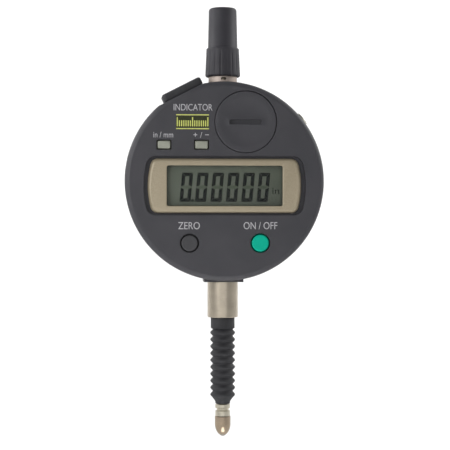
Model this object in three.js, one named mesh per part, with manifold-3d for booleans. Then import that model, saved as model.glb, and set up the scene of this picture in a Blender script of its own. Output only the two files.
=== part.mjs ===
// Digital dial indicator, inch model: a round plastic case on a 3/8 in stem, with a sprung spindle
// that runs right through it, a rubber bellows boot and a tall cap over the spindle's upper end.
// Millimetres. The spindle runs along Z, the display faces -Y, and the origin is on the spindle
// axis, halfway along the stem, where a stand or a fixture grips the indicator.
import * as THREE from 'three';
import { mergeVertices } from 'three/addons/utils/BufferGeometryUtils.js';
import Module from 'manifold-3d';

const wasm = await Module();
wasm.setup();

// ---- driving dimensions, mm ----

const gap = 0.3; // between pieces that sit against each other
const slip = 0.15; // around a part that slides
const past = 1; // how far a cut runs past the face it opens
const ballSlip = 0.1;

const travel = 12.7;
const caseDiameter = 61;
const caseWall = 1.8;
const faceWall = 2.4;
const faceRound = 1.4;
const caseDraft = 0.4;

const stemDiameter = 9.525;
const stemLength = 11.1;
const stemChamfer = 0.3;
const stemBossWall = 1.29;
const stemBossDrop = 0.5; // how far the boss stands below the round of the case
const stemSeat = 2.8; // how deep the stem goes into the boss

const spindleDiameter = 4.8;
const spindleEndStep = 0.75; // how much thinner the end is, all round
const spindleEndLength = 4.6;
const bushWall = 0.8;
const bushLength = 5;

const neckShow = 2.2; // bare metal between case and cap
const neckRise = 6.6; // from the cap's edge up inside it
const neckSeat = 4.5;
const neckWall = 0.95;
const ventDiameter = 1.1;

const capSkirtLength = 9;
const capSkirtWall = 0.5;
const capSkirtEdge = 0.7;
const capSkirtFlare = 0.35;
const capFlutes = 20;
const capBarrelDraft = 0.25;
const capAir = 0.75; // around the spindle's upper end
const capTopRound = 1;
const capTopWall = 1.5;
const capHeadroom = 0.7;
const capBarrelWall = 1.2;

const spigotWall = 0.525;
const bootNeckLength = 3.1;
const bootWall = 0.5;
const bootFolds = 10;
const bootFoldClosed = 0.87; // one fold's height when the boot is pushed fully up
const bootAir = 0.325; // between the spindle and the folds
const bootFoldDepth = 0.65;
const bootLead = 0.4; // plain tube between the neck and the first fold
const bootTaperLength = 1.7;
const bootLipLength = 0.6;
const bootLipAir = 0.175;

const contactCollarDiameter = 4.65;
const contactCollarLength = 3.85;
const contactGrooveDiameter = 4;
const contactGrooveWidth = 0.4;
const contactGrooveDown = 1.6;
const contactBodyDiameter = 4.95;
const contactBodyLength = 3;
const contactNoseLength = 2.55;
const contactNoseDiameter = 3.3;
const contactBallDiameter = 2.6;
const contactBallShow = 0.7;
const contactStudDiameter = 2.2;
const contactStudLength = 5;

const bezelHalfWidth = 23.5; // at the middle of its bulging sides
const bezelCornerHalfWidth = 22.1;
const bezelHeight = 16.7;
const bezelThickness = 0.8;
const bezelDrop = 1.45; // centre of the display below centre of the case
const recessSideMargin = 1.25;
const recessEndMargin = 0.7;
const recessDepth = 1.1;
const openingWidth = 35.4;
const openingHeight = 12.35;
const windowMargin = 1.3;
const windowThickness = 0.8;
const lcdMargin = 1;
const lcdThickness = 1.6;
const lcdFrameWall = 1.5;
const lcdFrameDepth = 2.3;
const elastomerThickness = 1.2;

const smallButtonWidth = 3.75;
const smallButtonHeight = 2.25;
const smallButtonMargin = 0.42;
const smallButtonUp = 11;
const smallButtonAcross = [-18.57, -7.15];
const originButtonDiameter = 4.9;
const powerButtonDiameter = 5.1;
const roundButtonMargin = 0.45;
const roundButtonDown = 18.93;
const roundButtonAcross = 10.8;
const buttonProud = 0.25;
const buttonFlange = 0.7;
const buttonFlangeThickness = 0.6;
const buttonTravel = 0.5;

const batteryDiameter = 11.6;
const batteryThickness = 5.4;
const batteryAcross = 6.37;
const lidAboveDisplay = 1.05; // case between the display's recess and the lid
const lidRim = 1; // lid's edge beyond its skirt
const lidThickness = 1.5;
const lidSkirtDepth = 2.4;
const lidSkirtWall = 2.3;
const lidSlotLength = 10.6;
const lidSlotWidth = 1.9;
const lidSlotDepth = 0.8;
const lidSealThickness = 0.8;
const bayWall = 1;
const bayFloor = 0.6;
const leafThickness = 0.2;
const leafWidth = 6;

const boardThickness = 1;
const boardDepth = 5.8; // from the face to the front of the board
const matThickness = 0.4;
const domeHeight = 1.1;
const chipSize = 8;
const chipThickness = 1;
const chipPlace = [-11, -7];
const crystalSize = [6, 1.2, 2.2];
const crystalPlace = [12, -11];
const postDiameter = 3.2;
const postPlaces = [[-17.8, -13.6], [17.8, -13.6], [-16.3, 15.7]];
const boardScrewDiameter = 1.6;
const boardScrewHead = 2.8;
const boardScrewLength = 3.2;

const rearWall = 1.04; // air between the stem and the rear cover's inner face
const coverThickness = 1.8;
const coverChamfer = 0.5;
const coverRingWall = 1.6;
const coverRingDepth = 1.4;
const sealThickness = 0.5;
const coverScrewAngles = [20, 160, 215, 325];
const coverScrewDiameter = 2;
const coverScrewHead = 3.8;
const coverScrewHeadHeight = 0.9;
const coverScrewLength = 6.5;
const screwBossWall = 1.1;
const crossLength = 2.2;
const crossWidth = 0.5;
const crossDepth = 0.5;

const connectorAngle = 117; // degrees up from +X
const connectorAlong = 1.2; // along its flat, towards the neck
const connectorFlatCut = 1; // how far the flat is cut into the round of the case
const connectorLength = 13.9;
const connectorWidth = 8.4;
const connectorThickness = 2.7;
const connectorCornerRadius = 1.4;
const connectorBack = -1.2; // place along Y
const socketLength = 10;
const socketWidth = 5.4;
const socketDepth = 8.4;
const socketWall = 1.2;
const tongueDepth = 2.3;
const contactBarThickness = 0.8;

const plugAngle = 38.5; // degrees up from +X
const plugDiameter = 4.4;
const plugDepth = 3.4;
const plugProud = 1.4;
const plugSlotWidth = 0.6;
const plugSlotDepth = 0.5;
const plugWall = 1;

const carrierWidth = 9;
const carrierHeight = 6;
const carrierWall = 0.5;
const guideRodDiameter = 2;
const guideRodAcross = -8;
const guideRodBelow = 11; // rod below the carrier at rest
const guideForkWall = 1.2;
const scaleWidth = 7;
const scaleLength = 32;
const scaleThickness = 0.7;
const scaleMargin = 2;
const detectorWidth = 11;
const detectorLength = 17;
const detectorThickness = 0.8;
const springAcross = 8.6;
const springRadius = 1.5;
const springWire = 0.45;
const springArmDrop = 2;
const springTurns = 8;
const springLength = 17;
const springPostDiameter = 1.6;

// ---- places worked out from the sizes above ----

const degrees = Math.PI / 180;

const caseRadius = caseDiameter / 2;
const caseInside = caseRadius - caseWall;
const spindleRadius = spindleDiameter / 2;
const stemRadius = stemDiameter / 2;
const stemBore = spindleDiameter + 2 * (slip + bushWall + slip);
const stemBossWidth = stemDiameter + 2 * stemBossWall;
const neckRadius = spindleRadius + slip + bushWall + slip + neckWall;
const stemBossFloor = -caseRadius - stemBossDrop;
const stemFloor = stemBossFloor - stemLength;
const stemGrip = (stemBossFloor + stemFloor) / 2;

// Depths along Y. The battery, its lid and its contact stack up in front of the spindle.
const bayBack = -spindleRadius - gap;
const leafBack = bayBack - bayFloor - gap;
const batteryBack = leafBack - leafThickness - gap;
const lidBack = batteryBack - batteryThickness - gap;
const faceY = lidBack - lidThickness;
const wallBack = faceY + faceWall;
const boardFront = faceY + boardDepth;
const boardBack = boardFront + boardThickness;
const matBack = boardFront - gap;
const lcdFront = faceY + recessDepth + windowThickness + gap;
const coverInner = stemRadius + rearWall;
const backY = coverInner + coverThickness;
const rimY = coverInner - gap;
const coverRingFront = coverInner - coverRingDepth;

// Heights along Z.
const neckTop = caseRadius + neckShow + neckRise;
const capFloor = caseRadius + neckShow;
const neckBossFloor = caseRadius - neckSeat - bayWall;
const capCeiling = neckTop + travel + capHeadroom;
const capTop = capCeiling + capTopWall;
const spindleTop = neckTop;
const bootTop = stemFloor - gap;
const bootNeckRadius = spindleRadius + slip + spigotWall + slip + bootWall;
const bootValleyRadius = spindleRadius + bootAir + bootWall;
const spindleEndRadius = spindleRadius - spindleEndStep;
const bootLipRadius = spindleEndRadius + bootLipAir + bootWall;
const bootFoldHeight = bootFoldClosed + travel / bootFolds;
const bootFoldsTop = bootTop - bootNeckLength - bootLead;
const bootTaperTop = bootFoldsTop - bootFolds * bootFoldHeight;
const bootFloor = bootTaperTop - bootTaperLength;
const spindleFloor = bootFloor;
const contactTop = spindleFloor - slip;

const lidSkirtInside = batteryDiameter / 2 + gap;
const lidSkirtRadius = lidSkirtInside + lidSkirtWall;
const lidRadius = lidSkirtRadius + lidRim;
const batteryUp = bezelHeight / 2 - bezelDrop + recessEndMargin + lidAboveDisplay + lidRadius;
const batteryBay = [batteryAcross, batteryUp];
const lidSkirtBack = lidBack + lidSkirtDepth;
const batteryPocket = batteryDiameter / 2 + gap;
const batteryPocketFront = lidSkirtBack + gap;
const connectorFlat = caseRadius - connectorFlatCut;
const socketFloor = connectorFlat - socketDepth;

const screwRing = caseInside - coverScrewDiameter / 2 - gap / 2 - screwBossWall;
const screwBossRadius = coverScrewDiameter / 2 + gap / 2 + screwBossWall;
const boardRadius = screwRing - screwBossRadius - gap;
const bezelCentre = [0, -bezelDrop];

// The guide rod stops just short of the output socket, and the carrier rests a travel below its top.
const guideRodRadius = guideRodDiameter / 2;
const guideRodSideways = guideRodAcross * Math.cos(connectorAngle * degrees);
const guideRodReach = socketFloor - guideRodRadius - gap - guideRodSideways;
const guideRodTop = guideRodReach / Math.sin(connectorAngle * degrees);
const carrierTop = guideRodTop - scaleMargin - travel;
const carrierFloor = carrierTop - carrierHeight;
const scaleFront = spindleRadius + carrierWall + gap / 2;
const scaleTop = neckBossFloor - gap - travel; // clear of the neck's boss when pushed fully up
const detectorFront = scaleFront + scaleThickness + gap;
const detectorTop = scaleTop - 1;
const detectorBack = detectorFront + detectorThickness;

const roundButtons = [
  { name: 'button_origin', place: [-roundButtonAcross, -roundButtonDown], diameter: originButtonDiameter },
  { name: 'button_on_off', place: [roundButtonAcross, -roundButtonDown], diameter: powerButtonDiameter },
];
const smallButtons = [
  { name: 'button_in_mm', place: [smallButtonAcross[0], smallButtonUp] },
  { name: 'button_plus_minus', place: [smallButtonAcross[1], smallButtonUp] },
];

// ---- helpers ----

const roundSteps = 16; // facets on a small round
const caseSteps = 48; // facets on the case, its cover and its seal

// A solid for joining and cutting, from any closed geometry.
function solid(geometry) {
  const bare = new THREE.BufferGeometry();
  bare.setAttribute('position', geometry.attributes.position.clone());
  if (geometry.index) bare.setIndex(geometry.index.clone());
  const merged = mergeVertices(bare, 1e-4);
  const corners = merged.index.array;
  const kept = [];
  for (let i = 0; i < corners.length; i += 3) {
    const [a, b, c] = [corners[i], corners[i + 1], corners[i + 2]];
    if (a !== b && b !== c && c !== a) kept.push(a, b, c);
  }
  const vertProperties = new Float32Array(merged.attributes.position.array);
  return new wasm.Manifold(new wasm.Mesh({ numProp: 3, vertProperties, triVerts: new Uint32Array(kept) }));
}

function geometryOf(body) {
  const mesh = body.getMesh();
  const geometry = new THREE.BufferGeometry();
  geometry.setAttribute('position', new THREE.BufferAttribute(new Float32Array(mesh.vertProperties), 3));
  geometry.setIndex(new THREE.BufferAttribute(new Uint32Array(mesh.triVerts), 1));
  geometry.computeVertexNormals();
  return geometry;
}

// Starts from one geometry, joins some and cuts others away.
function carve(base, joined, cut) {
  let body = solid(base);
  for (const piece of joined) body = body.add(solid(piece));
  for (const piece of cut) body = body.subtract(solid(piece));
  return geometryOf(body);
}

// Turned about Y, from [radius, y] points given front to back along the outside.
function turnedForward(outline, steps = roundSteps) {
  return new THREE.LatheGeometry(outline.map(([r, y]) => new THREE.Vector2(r, y)), steps);
}

// Turned about the spindle axis, from [radius, z] points given upward along the outside.
function turnedUpright(outline, steps = roundSteps) {
  return turnedForward(outline, steps).rotateX(Math.PI / 2);
}

function rod(radius, low, high, steps = roundSteps) {
  return turnedUpright([[0, low], [radius, low], [radius, high], [0, high]], steps);
}

function peg(radius, front, back, [x, z] = [0, 0], steps = roundSteps) {
  const outline = [[0, front], [radius, front], [radius, back], [0, back]];
  return turnedForward(outline, steps).translate(x, 0, z);
}

function sleeve(inside, outside, low, high, steps = roundSteps) {
  const outline = [[inside, low], [outside, low], [outside, high], [inside, high], [inside, low]];
  return turnedUpright(outline, steps);
}

// A flat outline drawn in X and Z, given thickness along Y.
function plate(shape, front, back) {
  const options = { depth: back - front, bevelEnabled: false, curveSegments: 8 };
  return new THREE.ExtrudeGeometry(shape, options).rotateX(Math.PI / 2).translate(0, back, 0);
}

function block([x0, x1], [y0, y1], [z0, z1]) {
  const geometry = new THREE.BoxGeometry(x1 - x0, y1 - y0, z1 - z0);
  return geometry.translate((x0 + x1) / 2, (y0 + y1) / 2, (z0 + z1) / 2);
}

// A block centred on x and z.
function slab(width, height, front, back, [x, z] = [0, 0]) {
  return block([x - width / 2, x + width / 2], [front, back], [z - height / 2, z + height / 2]);
}

// The display's outline: level top and bottom, sides bulging as arcs.
function bulgedShape(halfWidth, cornerHalfWidth, height) {
  const half = height / 2;
  const bulge = halfWidth - cornerHalfWidth;
  const radius = (half * half + bulge * bulge) / (2 * bulge);
  const angle = Math.asin(half / radius);
  const shape = new THREE.Shape();
  shape.absarc(halfWidth - radius, 0, radius, -angle, angle, false);
  shape.absarc(radius - halfWidth, 0, radius, Math.PI - angle, Math.PI + angle, false);
  shape.closePath();
  return shape;
}

function roundedShape(width, height, radius) {
  const [x, y] = [width / 2 - radius, height / 2 - radius];
  const shape = new THREE.Shape();
  shape.absarc(x, y, radius, 0, Math.PI / 2, false);
  shape.absarc(-x, y, radius, Math.PI / 2, Math.PI, false);
  shape.absarc(-x, -y, radius, Math.PI, 1.5 * Math.PI, false);
  shape.absarc(x, -y, radius, 1.5 * Math.PI, 2 * Math.PI, false);
  shape.closePath();
  return shape;
}

// Turn about Y that carries +Z to a direction given in degrees up from +X.
function turnTo(angle) {
  return (90 - angle) * degrees;
}

function onRing(radius, angle) {
  return [radius * Math.cos(angle * degrees), radius * Math.sin(angle * degrees)];
}

const finishes = {
  caseBlack: { color: 0x48474c, roughness: 0.55, metalness: 0 },
  capBlack: { color: 0x47464b, roughness: 0.5, metalness: 0 },
  rubber: { color: 0x3a393d, roughness: 0.8, metalness: 0 },
  steel: { color: 0xa69c8d, roughness: 0.35, metalness: 1 },
  brass: { color: 0xb08d4f, roughness: 0.35, metalness: 1 },
  bezelGold: { color: 0xa09378, roughness: 0.4, metalness: 0.6 },
  clear: { color: 0xdfe4e0, roughness: 0.1, metalness: 0 },
  lcdGlass: { color: 0x57605a, roughness: 0.25, metalness: 0 },
  whitePlastic: { color: 0xd8d8d4, roughness: 0.5, metalness: 0 },
  greyKey: { color: 0x949689, roughness: 0.5, metalness: 0 },
  greenKey: { color: 0x0aa08b, roughness: 0.4, metalness: 0 },
  board: { color: 0x1f5a3a, roughness: 0.5, metalness: 0 },
  carbide: { color: 0x8d8b88, roughness: 0.2, metalness: 1 },
};

const indicator = new THREE.Group();
const instrument = new THREE.Group();
instrument.position.z = -stemGrip;
indicator.add(instrument);

function place(name, geometry, finish, parent = instrument) {
  const mesh = new THREE.Mesh(geometry, new THREE.MeshStandardMaterial(finishes[finish]));
  mesh.name = name;
  parent.add(mesh);
  return mesh;
}

// ---- case ----

function caseBlank() {
  const outline = [[0, faceY]];
  const steps = 4;
  for (let i = 0; i <= steps; i += 1) {
    const angle = (i / steps) * (Math.PI / 2);
    const r = caseRadius - faceRound + faceRound * Math.sin(angle);
    outline.push([r, faceY + faceRound - faceRound * Math.cos(angle)]);
  }
  outline.push([caseRadius - caseDraft, rimY], [0, rimY]);
  return turnedForward(outline, caseSteps);
}

function connectorCut(width, height, low, high) {
  const front = connectorBack - height / 2;
  const left = connectorAlong - width / 2;
  const cut = block([left, left + width], [front, front + height], [low, high]);
  return cut.rotateY(turnTo(connectorAngle));
}

function frontCase() {
  let body = solid(caseBlank());
  body = body.subtract(solid(peg(caseInside, wallBack, rimY + past, [0, 0], caseSteps)));

  const added = [];
  for (const angle of coverScrewAngles) {
    added.push(peg(screwBossRadius, wallBack - gap, coverRingFront - gap, onRing(screwRing, angle), 12));
  }
  for (const spot of postPlaces) {
    added.push(peg(postDiameter / 2, wallBack - gap, boardFront - gap, spot, 12));
  }
  const bayFront = faceY + faceRound;
  added.push(peg(lidRadius + gap + bayWall, bayFront, lidBack + bayWall, batteryBay, 24));
  added.push(peg(lidSkirtRadius + gap + bayWall, bayFront, batteryPocketFront + bayWall, batteryBay, 24));
  added.push(peg(batteryPocket + bayWall, bayFront, bayBack, batteryBay, 24));
  const bossFront = -stemBossWidth / 2;
  const bossBack = coverRingFront - gap;
  const bossSides = [-stemBossWidth / 2, stemBossWidth / 2];
  const stemSeatTop = stemBossFloor + stemSeat + gap;
  added.push(block(bossSides, [bossFront, stemRadius], [stemBossFloor, stemSeatTop + bayWall]));
  added.push(block([-neckRadius - bayWall, neckRadius + bayWall], [bossFront, bossBack],
    [neckBossFloor, caseRadius - faceRound]));
  const plugBossRadius = plugDiameter / 2 + gap + plugWall;
  const plugBoss = rod(plugBossRadius, caseRadius - plugDepth - plugWall, caseInside + gap, 12);
  added.push(plugBoss.translate(0, connectorBack, 0).rotateY(turnTo(plugAngle)));
  for (const piece of added) body = body.add(solid(piece));

  const cut = [];
  cut.push(connectorCut(caseDiameter, caseDiameter, connectorFlat, caseDiameter));
  cut.push(connectorCut(socketLength + 2 * gap, socketWidth + 2 * gap, socketFloor - gap, caseRadius));
  const recess = bulgedShape(bezelHalfWidth + recessSideMargin, bezelCornerHalfWidth + recessSideMargin,
    bezelHeight + 2 * recessEndMargin);
  cut.push(plate(recess, faceY - past, faceY + recessDepth).translate(0, 0, -bezelDrop));
  cut.push(slab(openingWidth + 2 * (windowMargin + gap), openingHeight + 2 * (windowMargin + gap),
    faceY, wallBack + past, bezelCentre));
  for (const { place: spot, diameter } of roundButtons) {
    cut.push(peg(diameter / 2 + roundButtonMargin, faceY - past, wallBack + past, spot));
  }
  for (const { place: spot } of smallButtons) {
    const width = smallButtonWidth + 2 * smallButtonMargin;
    const height = smallButtonHeight + 2 * smallButtonMargin;
    cut.push(slab(width, height, faceY - past, wallBack + past, spot));
  }
  cut.push(peg(lidRadius + gap, faceY - past, lidBack + gap, batteryBay, 24));
  cut.push(peg(lidSkirtRadius + gap, faceY - past, batteryPocketFront, batteryBay, 24));
  cut.push(peg(batteryPocket, faceY - past, bayBack - bayFloor, batteryBay, 24));
  for (const angle of coverScrewAngles) {
    const bottom = backY - coverScrewHeadHeight - coverScrewLength - gap;
    cut.push(peg(coverScrewDiameter / 2 + gap / 2, bottom, rimY + past, onRing(screwRing, angle), 12));
  }
  for (const spot of postPlaces) {
    const bottom = boardBack - boardScrewLength - gap;
    cut.push(peg(boardScrewDiameter / 2 + gap / 2, bottom, boardFront, spot, 12));
  }
  cut.push(rod(stemRadius + slip, stemBossFloor - past, stemSeatTop, 32));
  cut.push(rod(spindleRadius + gap, stemSeatTop - gap, stemSeatTop + bayWall + gap));
  cut.push(rod(neckRadius + slip, caseRadius - neckSeat, caseRadius + past, 32));
  cut.push(rod(spindleRadius + gap, neckBossFloor - past, caseRadius));
  const plugBore = rod(plugDiameter / 2 + slip, caseRadius - plugDepth, caseRadius + past);
  cut.push(plugBore.translate(0, connectorBack, 0).rotateY(turnTo(plugAngle)));
  for (const piece of cut) body = body.subtract(solid(piece));
  return geometryOf(body);
}

function rearCover() {
  const radius = caseRadius - caseDraft;
  const disc = turnedForward([[0, coverInner], [radius, coverInner], [radius, backY - coverChamfer],
    [radius - coverChamfer, backY], [0, backY]], caseSteps);
  const ringOutside = caseInside - 2 * slip - sealThickness;
  const ring = turnedForward([[ringOutside - coverRingWall, coverRingFront], [ringOutside, coverRingFront],
    [ringOutside, coverInner + gap], [ringOutside - coverRingWall, coverInner + gap],
    [ringOutside - coverRingWall, coverRingFront]], caseSteps);
  const cut = [];
  const gateHalf = stemBossWidth / 2 + gap;
  cut.push(block([-gateHalf, gateHalf], [coverRingFront - past, coverInner], [-caseRadius, caseRadius]));
  cut.push(connectorCut(socketLength + 2 * gap, 2 * (coverInner - connectorBack), socketFloor, caseRadius));
  for (const angle of coverScrewAngles) {
    const spot = onRing(screwRing, angle);
    cut.push(peg(coverScrewDiameter / 2 + gap / 2, coverRingFront - past, backY + past, spot, 12));
    cut.push(peg(coverScrewHead / 2 + slip, backY - coverScrewHeadHeight - gap, backY + past, spot));
  }
  const pad = block([1 - detectorWidth / 2, detectorWidth / 2 - 1], [detectorBack + gap, coverInner + gap],
    [detectorTop - detectorLength + 1, detectorTop - 1]);
  return geometryOf(solid(carve(disc, [ring], cut)).add(solid(pad)));
}

function crossHead(headRadius, head, front, back, shank) {
  const body = turnedForward([[0, front], [shank, front], [shank, back - head], [headRadius, back - head],
    [headRadius, back - head / 3], [headRadius * 0.8, back], [0, back]], 16);
  const slots = [
    slab(crossLength, crossWidth, back - crossDepth, back + 1),
    slab(crossWidth, crossLength, back - crossDepth, back + 1),
  ];
  return carve(body, [], slots);
}

function buildCase() {
  place('front_case', frontCase(), 'caseBlack');
  place('rear_cover', rearCover(), 'caseBlack');
  const sealRadius = caseInside - slip - sealThickness / 2;
  const seal = new THREE.TorusGeometry(sealRadius, sealThickness / 2, 6, caseSteps);
  const sealY = coverInner - gap / 2 - sealThickness / 2;
  place('case_seal', seal.rotateX(Math.PI / 2).translate(0, sealY, 0), 'rubber');
  coverScrewAngles.forEach((angle, i) => {
    const [x, z] = onRing(screwRing, angle);
    const back = backY - gap / 2;
    const screw = crossHead(coverScrewHead / 2, coverScrewHeadHeight - gap / 2, back - coverScrewLength, back,
      coverScrewDiameter / 2);
    place(`rear_cover_screw_${i + 1}`, screw.translate(x, 0, z), 'steel');
  });

  const plugHead = rod(plugDiameter / 2, caseRadius - plugDepth + gap, caseRadius + plugProud, 24);
  const plugSlot = block([-plugDiameter, plugDiameter], [-plugSlotWidth / 2, plugSlotWidth / 2],
    [caseRadius + plugProud - plugSlotDepth, caseRadius + plugProud + past]);
  const plug = place('side_plug', carve(plugHead, [], [plugSlot]), 'steel');
  plug.position.y = connectorBack;
  const shoulder = new THREE.Group();
  shoulder.rotation.y = turnTo(plugAngle);
  shoulder.add(plug);
  instrument.add(shoulder);
}

// ---- stem, neck and cap ----

function buildStem() {
  const top = stemBossFloor + stemSeat;
  const inside = stemBore / 2;
  const stem = turnedUpright([[inside, stemFloor], [stemRadius - stemChamfer, stemFloor],
    [stemRadius, stemFloor + stemChamfer], [stemRadius, top], [inside, top], [inside, stemFloor]], 48);
  place('stem', stem, 'steel');

  // The lower bush fills the stem's bore and carries a spigot below it for the boot's neck.
  const bushBore = spindleRadius + slip;
  const bushOutside = inside - slip;
  const spigotOutside = bushBore + spigotWall;
  const spigotFloor = bootTop - bootNeckLength + gap;
  const bush = turnedUpright([[bushBore, spigotFloor], [spigotOutside, spigotFloor],
    [spigotOutside, stemFloor + gap], [bushOutside, stemFloor + gap], [bushOutside, stemFloor + bushLength],
    [bushBore, stemFloor + bushLength], [bushBore, spigotFloor]], 24);
  place('lower_bush', bush, 'brass');

  const neckBore = neckRadius - neckWall;
  const neckFloor = caseRadius - neckSeat + gap;
  const vent = peg(ventDiameter / 2, -2 * neckRadius, 0, [0, caseRadius + neckShow / 2 + gap], 12);
  const neck = carve(sleeve(neckBore, neckRadius, neckFloor, neckTop, 32), [], [vent]);
  place('neck', neck, 'steel');
  place('upper_bush', sleeve(bushBore, neckBore - slip, neckTop - bushLength, neckTop - gap, 24), 'brass');
}

function buildCap() {
  const skirtTop = capFloor + capSkirtLength;
  const skirtInside = neckRadius + slip;
  const skirtEnd = skirtInside + capSkirtWall;
  const skirtStart = skirtEnd + capSkirtFlare;
  const barrelInside = spindleRadius + capAir;
  const barrelEnd = barrelInside + capBarrelWall;
  const barrelStart = barrelEnd + capBarrelDraft;
  const skirt = turnedUpright([[0, capFloor], [skirtStart - capSkirtEdge / 2, capFloor],
    [skirtStart, capFloor + capSkirtEdge], [skirtEnd, skirtTop - capSkirtEdge],
    [skirtEnd - capSkirtEdge / 2, skirtTop], [0, skirtTop]], capFlutes);
  const barrelOutline = [[0, skirtTop - gap], [barrelStart, skirtTop - gap]];
  const steps = 3;
  for (let i = 0; i <= steps; i += 1) {
    const angle = (i / steps) * (Math.PI / 2);
    barrelOutline.push([barrelEnd - capTopRound + capTopRound * Math.cos(angle),
      capTop - capTopRound + capTopRound * Math.sin(angle)]);
  }
  barrelOutline.push([0, capTop]);
  const barrel = turnedUpright(barrelOutline, 32);
  const cut = [
    rod(skirtInside, capFloor - past, neckTop + gap, 32),
    rod(barrelInside, capFloor, capCeiling, 24),
  ];
  place('top_cap', carve(skirt, [barrel], cut), 'capBlack');
}

// ---- spindle and contact ----

function buildSpindle() {
  const endTop = spindleFloor + spindleEndLength;
  const bore = contactStudDiameter / 2 + slip;
  const boreTop = contactTop + contactStudLength + gap;
  const edge = 0.3;
  const spindle = turnedUpright([[bore, spindleFloor], [spindleEndRadius, spindleFloor],
    [spindleEndRadius, endTop], [spindleRadius, endTop],
    [spindleRadius, spindleTop - edge], [spindleRadius - edge, spindleTop],
    [0, spindleTop], [0, boreTop], [bore, boreTop], [bore, spindleFloor]], 24);
  place('spindle', spindle, 'steel');

  const collarFloor = contactTop - contactCollarLength;
  const bodyFloor = collarFloor - contactBodyLength;
  const noseFloor = bodyFloor - contactNoseLength;
  const bodyRadius = contactBodyDiameter / 2;
  const collarRadius = contactCollarDiameter / 2;
  const groove = contactTop - contactGrooveDown;
  const ballRadius = contactBallDiameter / 2;
  const ballCentre = noseFloor - contactBallShow + ballRadius;
  const seat = ballRadius + ballSlip;
  const seatTop = ballCentre + ballRadius + ballSlip;
  const outline = [[seat, noseFloor]];
  const noseRadius = contactNoseDiameter / 2;
  const steps = 5;
  for (let i = 0; i <= steps; i += 1) {
    const angle = (i / steps) * (Math.PI / 2);
    outline.push([noseRadius + (bodyRadius - noseRadius) * Math.sin(angle),
      bodyFloor - contactNoseLength * Math.cos(angle)]);
  }
  outline.push([bodyRadius, collarFloor - gap], [collarRadius, collarFloor],
    [collarRadius, groove - contactGrooveWidth], [contactGrooveDiameter / 2, groove - contactGrooveWidth],
    [contactGrooveDiameter / 2, groove],
    [collarRadius, groove], [collarRadius, contactTop], [contactStudDiameter / 2, contactTop],
    [contactStudDiameter / 2, contactTop + contactStudLength], [0, contactTop + contactStudLength],
    [0, seatTop], [seat, seatTop], [seat, noseFloor]);
  place('contact_point', turnedUpright(outline, 24), 'steel');

  const ball = new THREE.SphereGeometry(ballRadius, 16, 10).rotateX(Math.PI / 2);
  place('contact_ball', ball.translate(0, 0, ballCentre), 'carbide');
}

function bootOutline() {
  const outside = [[bootLipRadius, bootFloor], [bootLipRadius, bootFloor + bootLipLength]];
  for (let fold = bootFolds; fold >= 1; fold -= 1) {
    const low = bootFoldsTop - fold * bootFoldHeight;
    outside.push([bootValleyRadius, low], [bootValleyRadius + bootFoldDepth, low + bootFoldHeight / 2]);
  }
  outside.push([bootValleyRadius, bootFoldsTop]);
  outside.push([bootNeckRadius, bootTop - bootNeckLength], [bootNeckRadius, bootTop]);
  return outside;
}

function buildBoot() {
  const outside = bootOutline();
  const inside = outside.map(([r, z]) => [r - bootWall, z]).reverse();
  place('rubber_boot', turnedUpright([...outside, ...inside, outside[0]], 16), 'rubber');
}

// ---- display ----

function buildDisplay() {
  const [x, z] = bezelCentre;
  const bezelShape = bulgedShape(bezelHalfWidth, bezelCornerHalfWidth, bezelHeight);
  const opening = roundedShape(openingWidth, openingHeight, 0.5);
  bezelShape.holes.push(opening);
  const bezel = plate(bezelShape, faceY, faceY + bezelThickness);
  place('display_bezel', bezel.translate(x, 0, z), 'bezelGold');

  const windowFront = faceY + recessDepth;
  const pane = roundedShape(openingWidth + 2 * windowMargin, openingHeight + 2 * windowMargin, 1);
  const window = plate(pane, windowFront, windowFront + windowThickness);
  place('display_window', window.translate(x, 0, z), 'clear');

  const lcdWidth = openingWidth + 2 * lcdMargin;
  const lcdHeight = openingHeight + 2 * lcdMargin;
  const lcdBack = lcdFront + lcdThickness;
  place('lcd_panel', slab(lcdWidth, lcdHeight, lcdFront, lcdBack, bezelCentre), 'lcdGlass');

  const frameFront = Math.max(wallBack, lcdFront) + gap;
  const frame = slab(lcdWidth + 2 * (gap + lcdFrameWall), lcdHeight + 2 * (gap + lcdFrameWall),
    frameFront, frameFront + lcdFrameDepth, bezelCentre);
  const hollow = slab(lcdWidth + 2 * gap, lcdHeight + 2 * gap, frameFront - past, backY, bezelCentre);
  place('lcd_frame', carve(frame, [], [hollow]), 'whitePlastic');

  const strips = [['elastomer_upper', 1], ['elastomer_lower', -1]];
  for (const [name, side] of strips) {
    const up = z + side * (lcdHeight / 2 - elastomerThickness);
    const strip = slab(lcdWidth - 2, elastomerThickness, lcdBack + gap, boardFront - gap, [x, up]);
    place(name, strip, 'rubber');
  }
}

// ---- buttons ----

function buildButtons() {
  const front = faceY - buttonProud;
  const flangeFront = wallBack + gap;
  const back = flangeFront + buttonFlangeThickness;
  for (const { name, place: [x, z], diameter } of roundButtons) {
    const radius = diameter / 2;
    const flange = radius + roundButtonMargin + buttonFlange;
    const edge = 0.25;
    const button = turnedForward([[0, front], [radius - edge, front], [radius, front + edge],
      [radius, flangeFront], [flange, flangeFront], [flange, back], [0, back]], 32);
    place(name, button.translate(x, 0, z), name === 'button_on_off' ? 'greenKey' : 'capBlack');
  }
  for (const { name, place: spot } of smallButtons) {
    const top = slab(smallButtonWidth, smallButtonHeight, front, back, spot);
    const margin = 2 * (smallButtonMargin + buttonFlange);
    const flange = slab(smallButtonWidth + margin, smallButtonHeight + margin, flangeFront, back, spot);
    place(name, carve(top, [flange], []), 'greyKey');
  }
  buildKeyMat('key_mat_upper', smallButtons.map((button) => button.place), back);
  buildKeyMat('key_mat_lower', roundButtons.map((button) => button.place), back);
}

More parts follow.
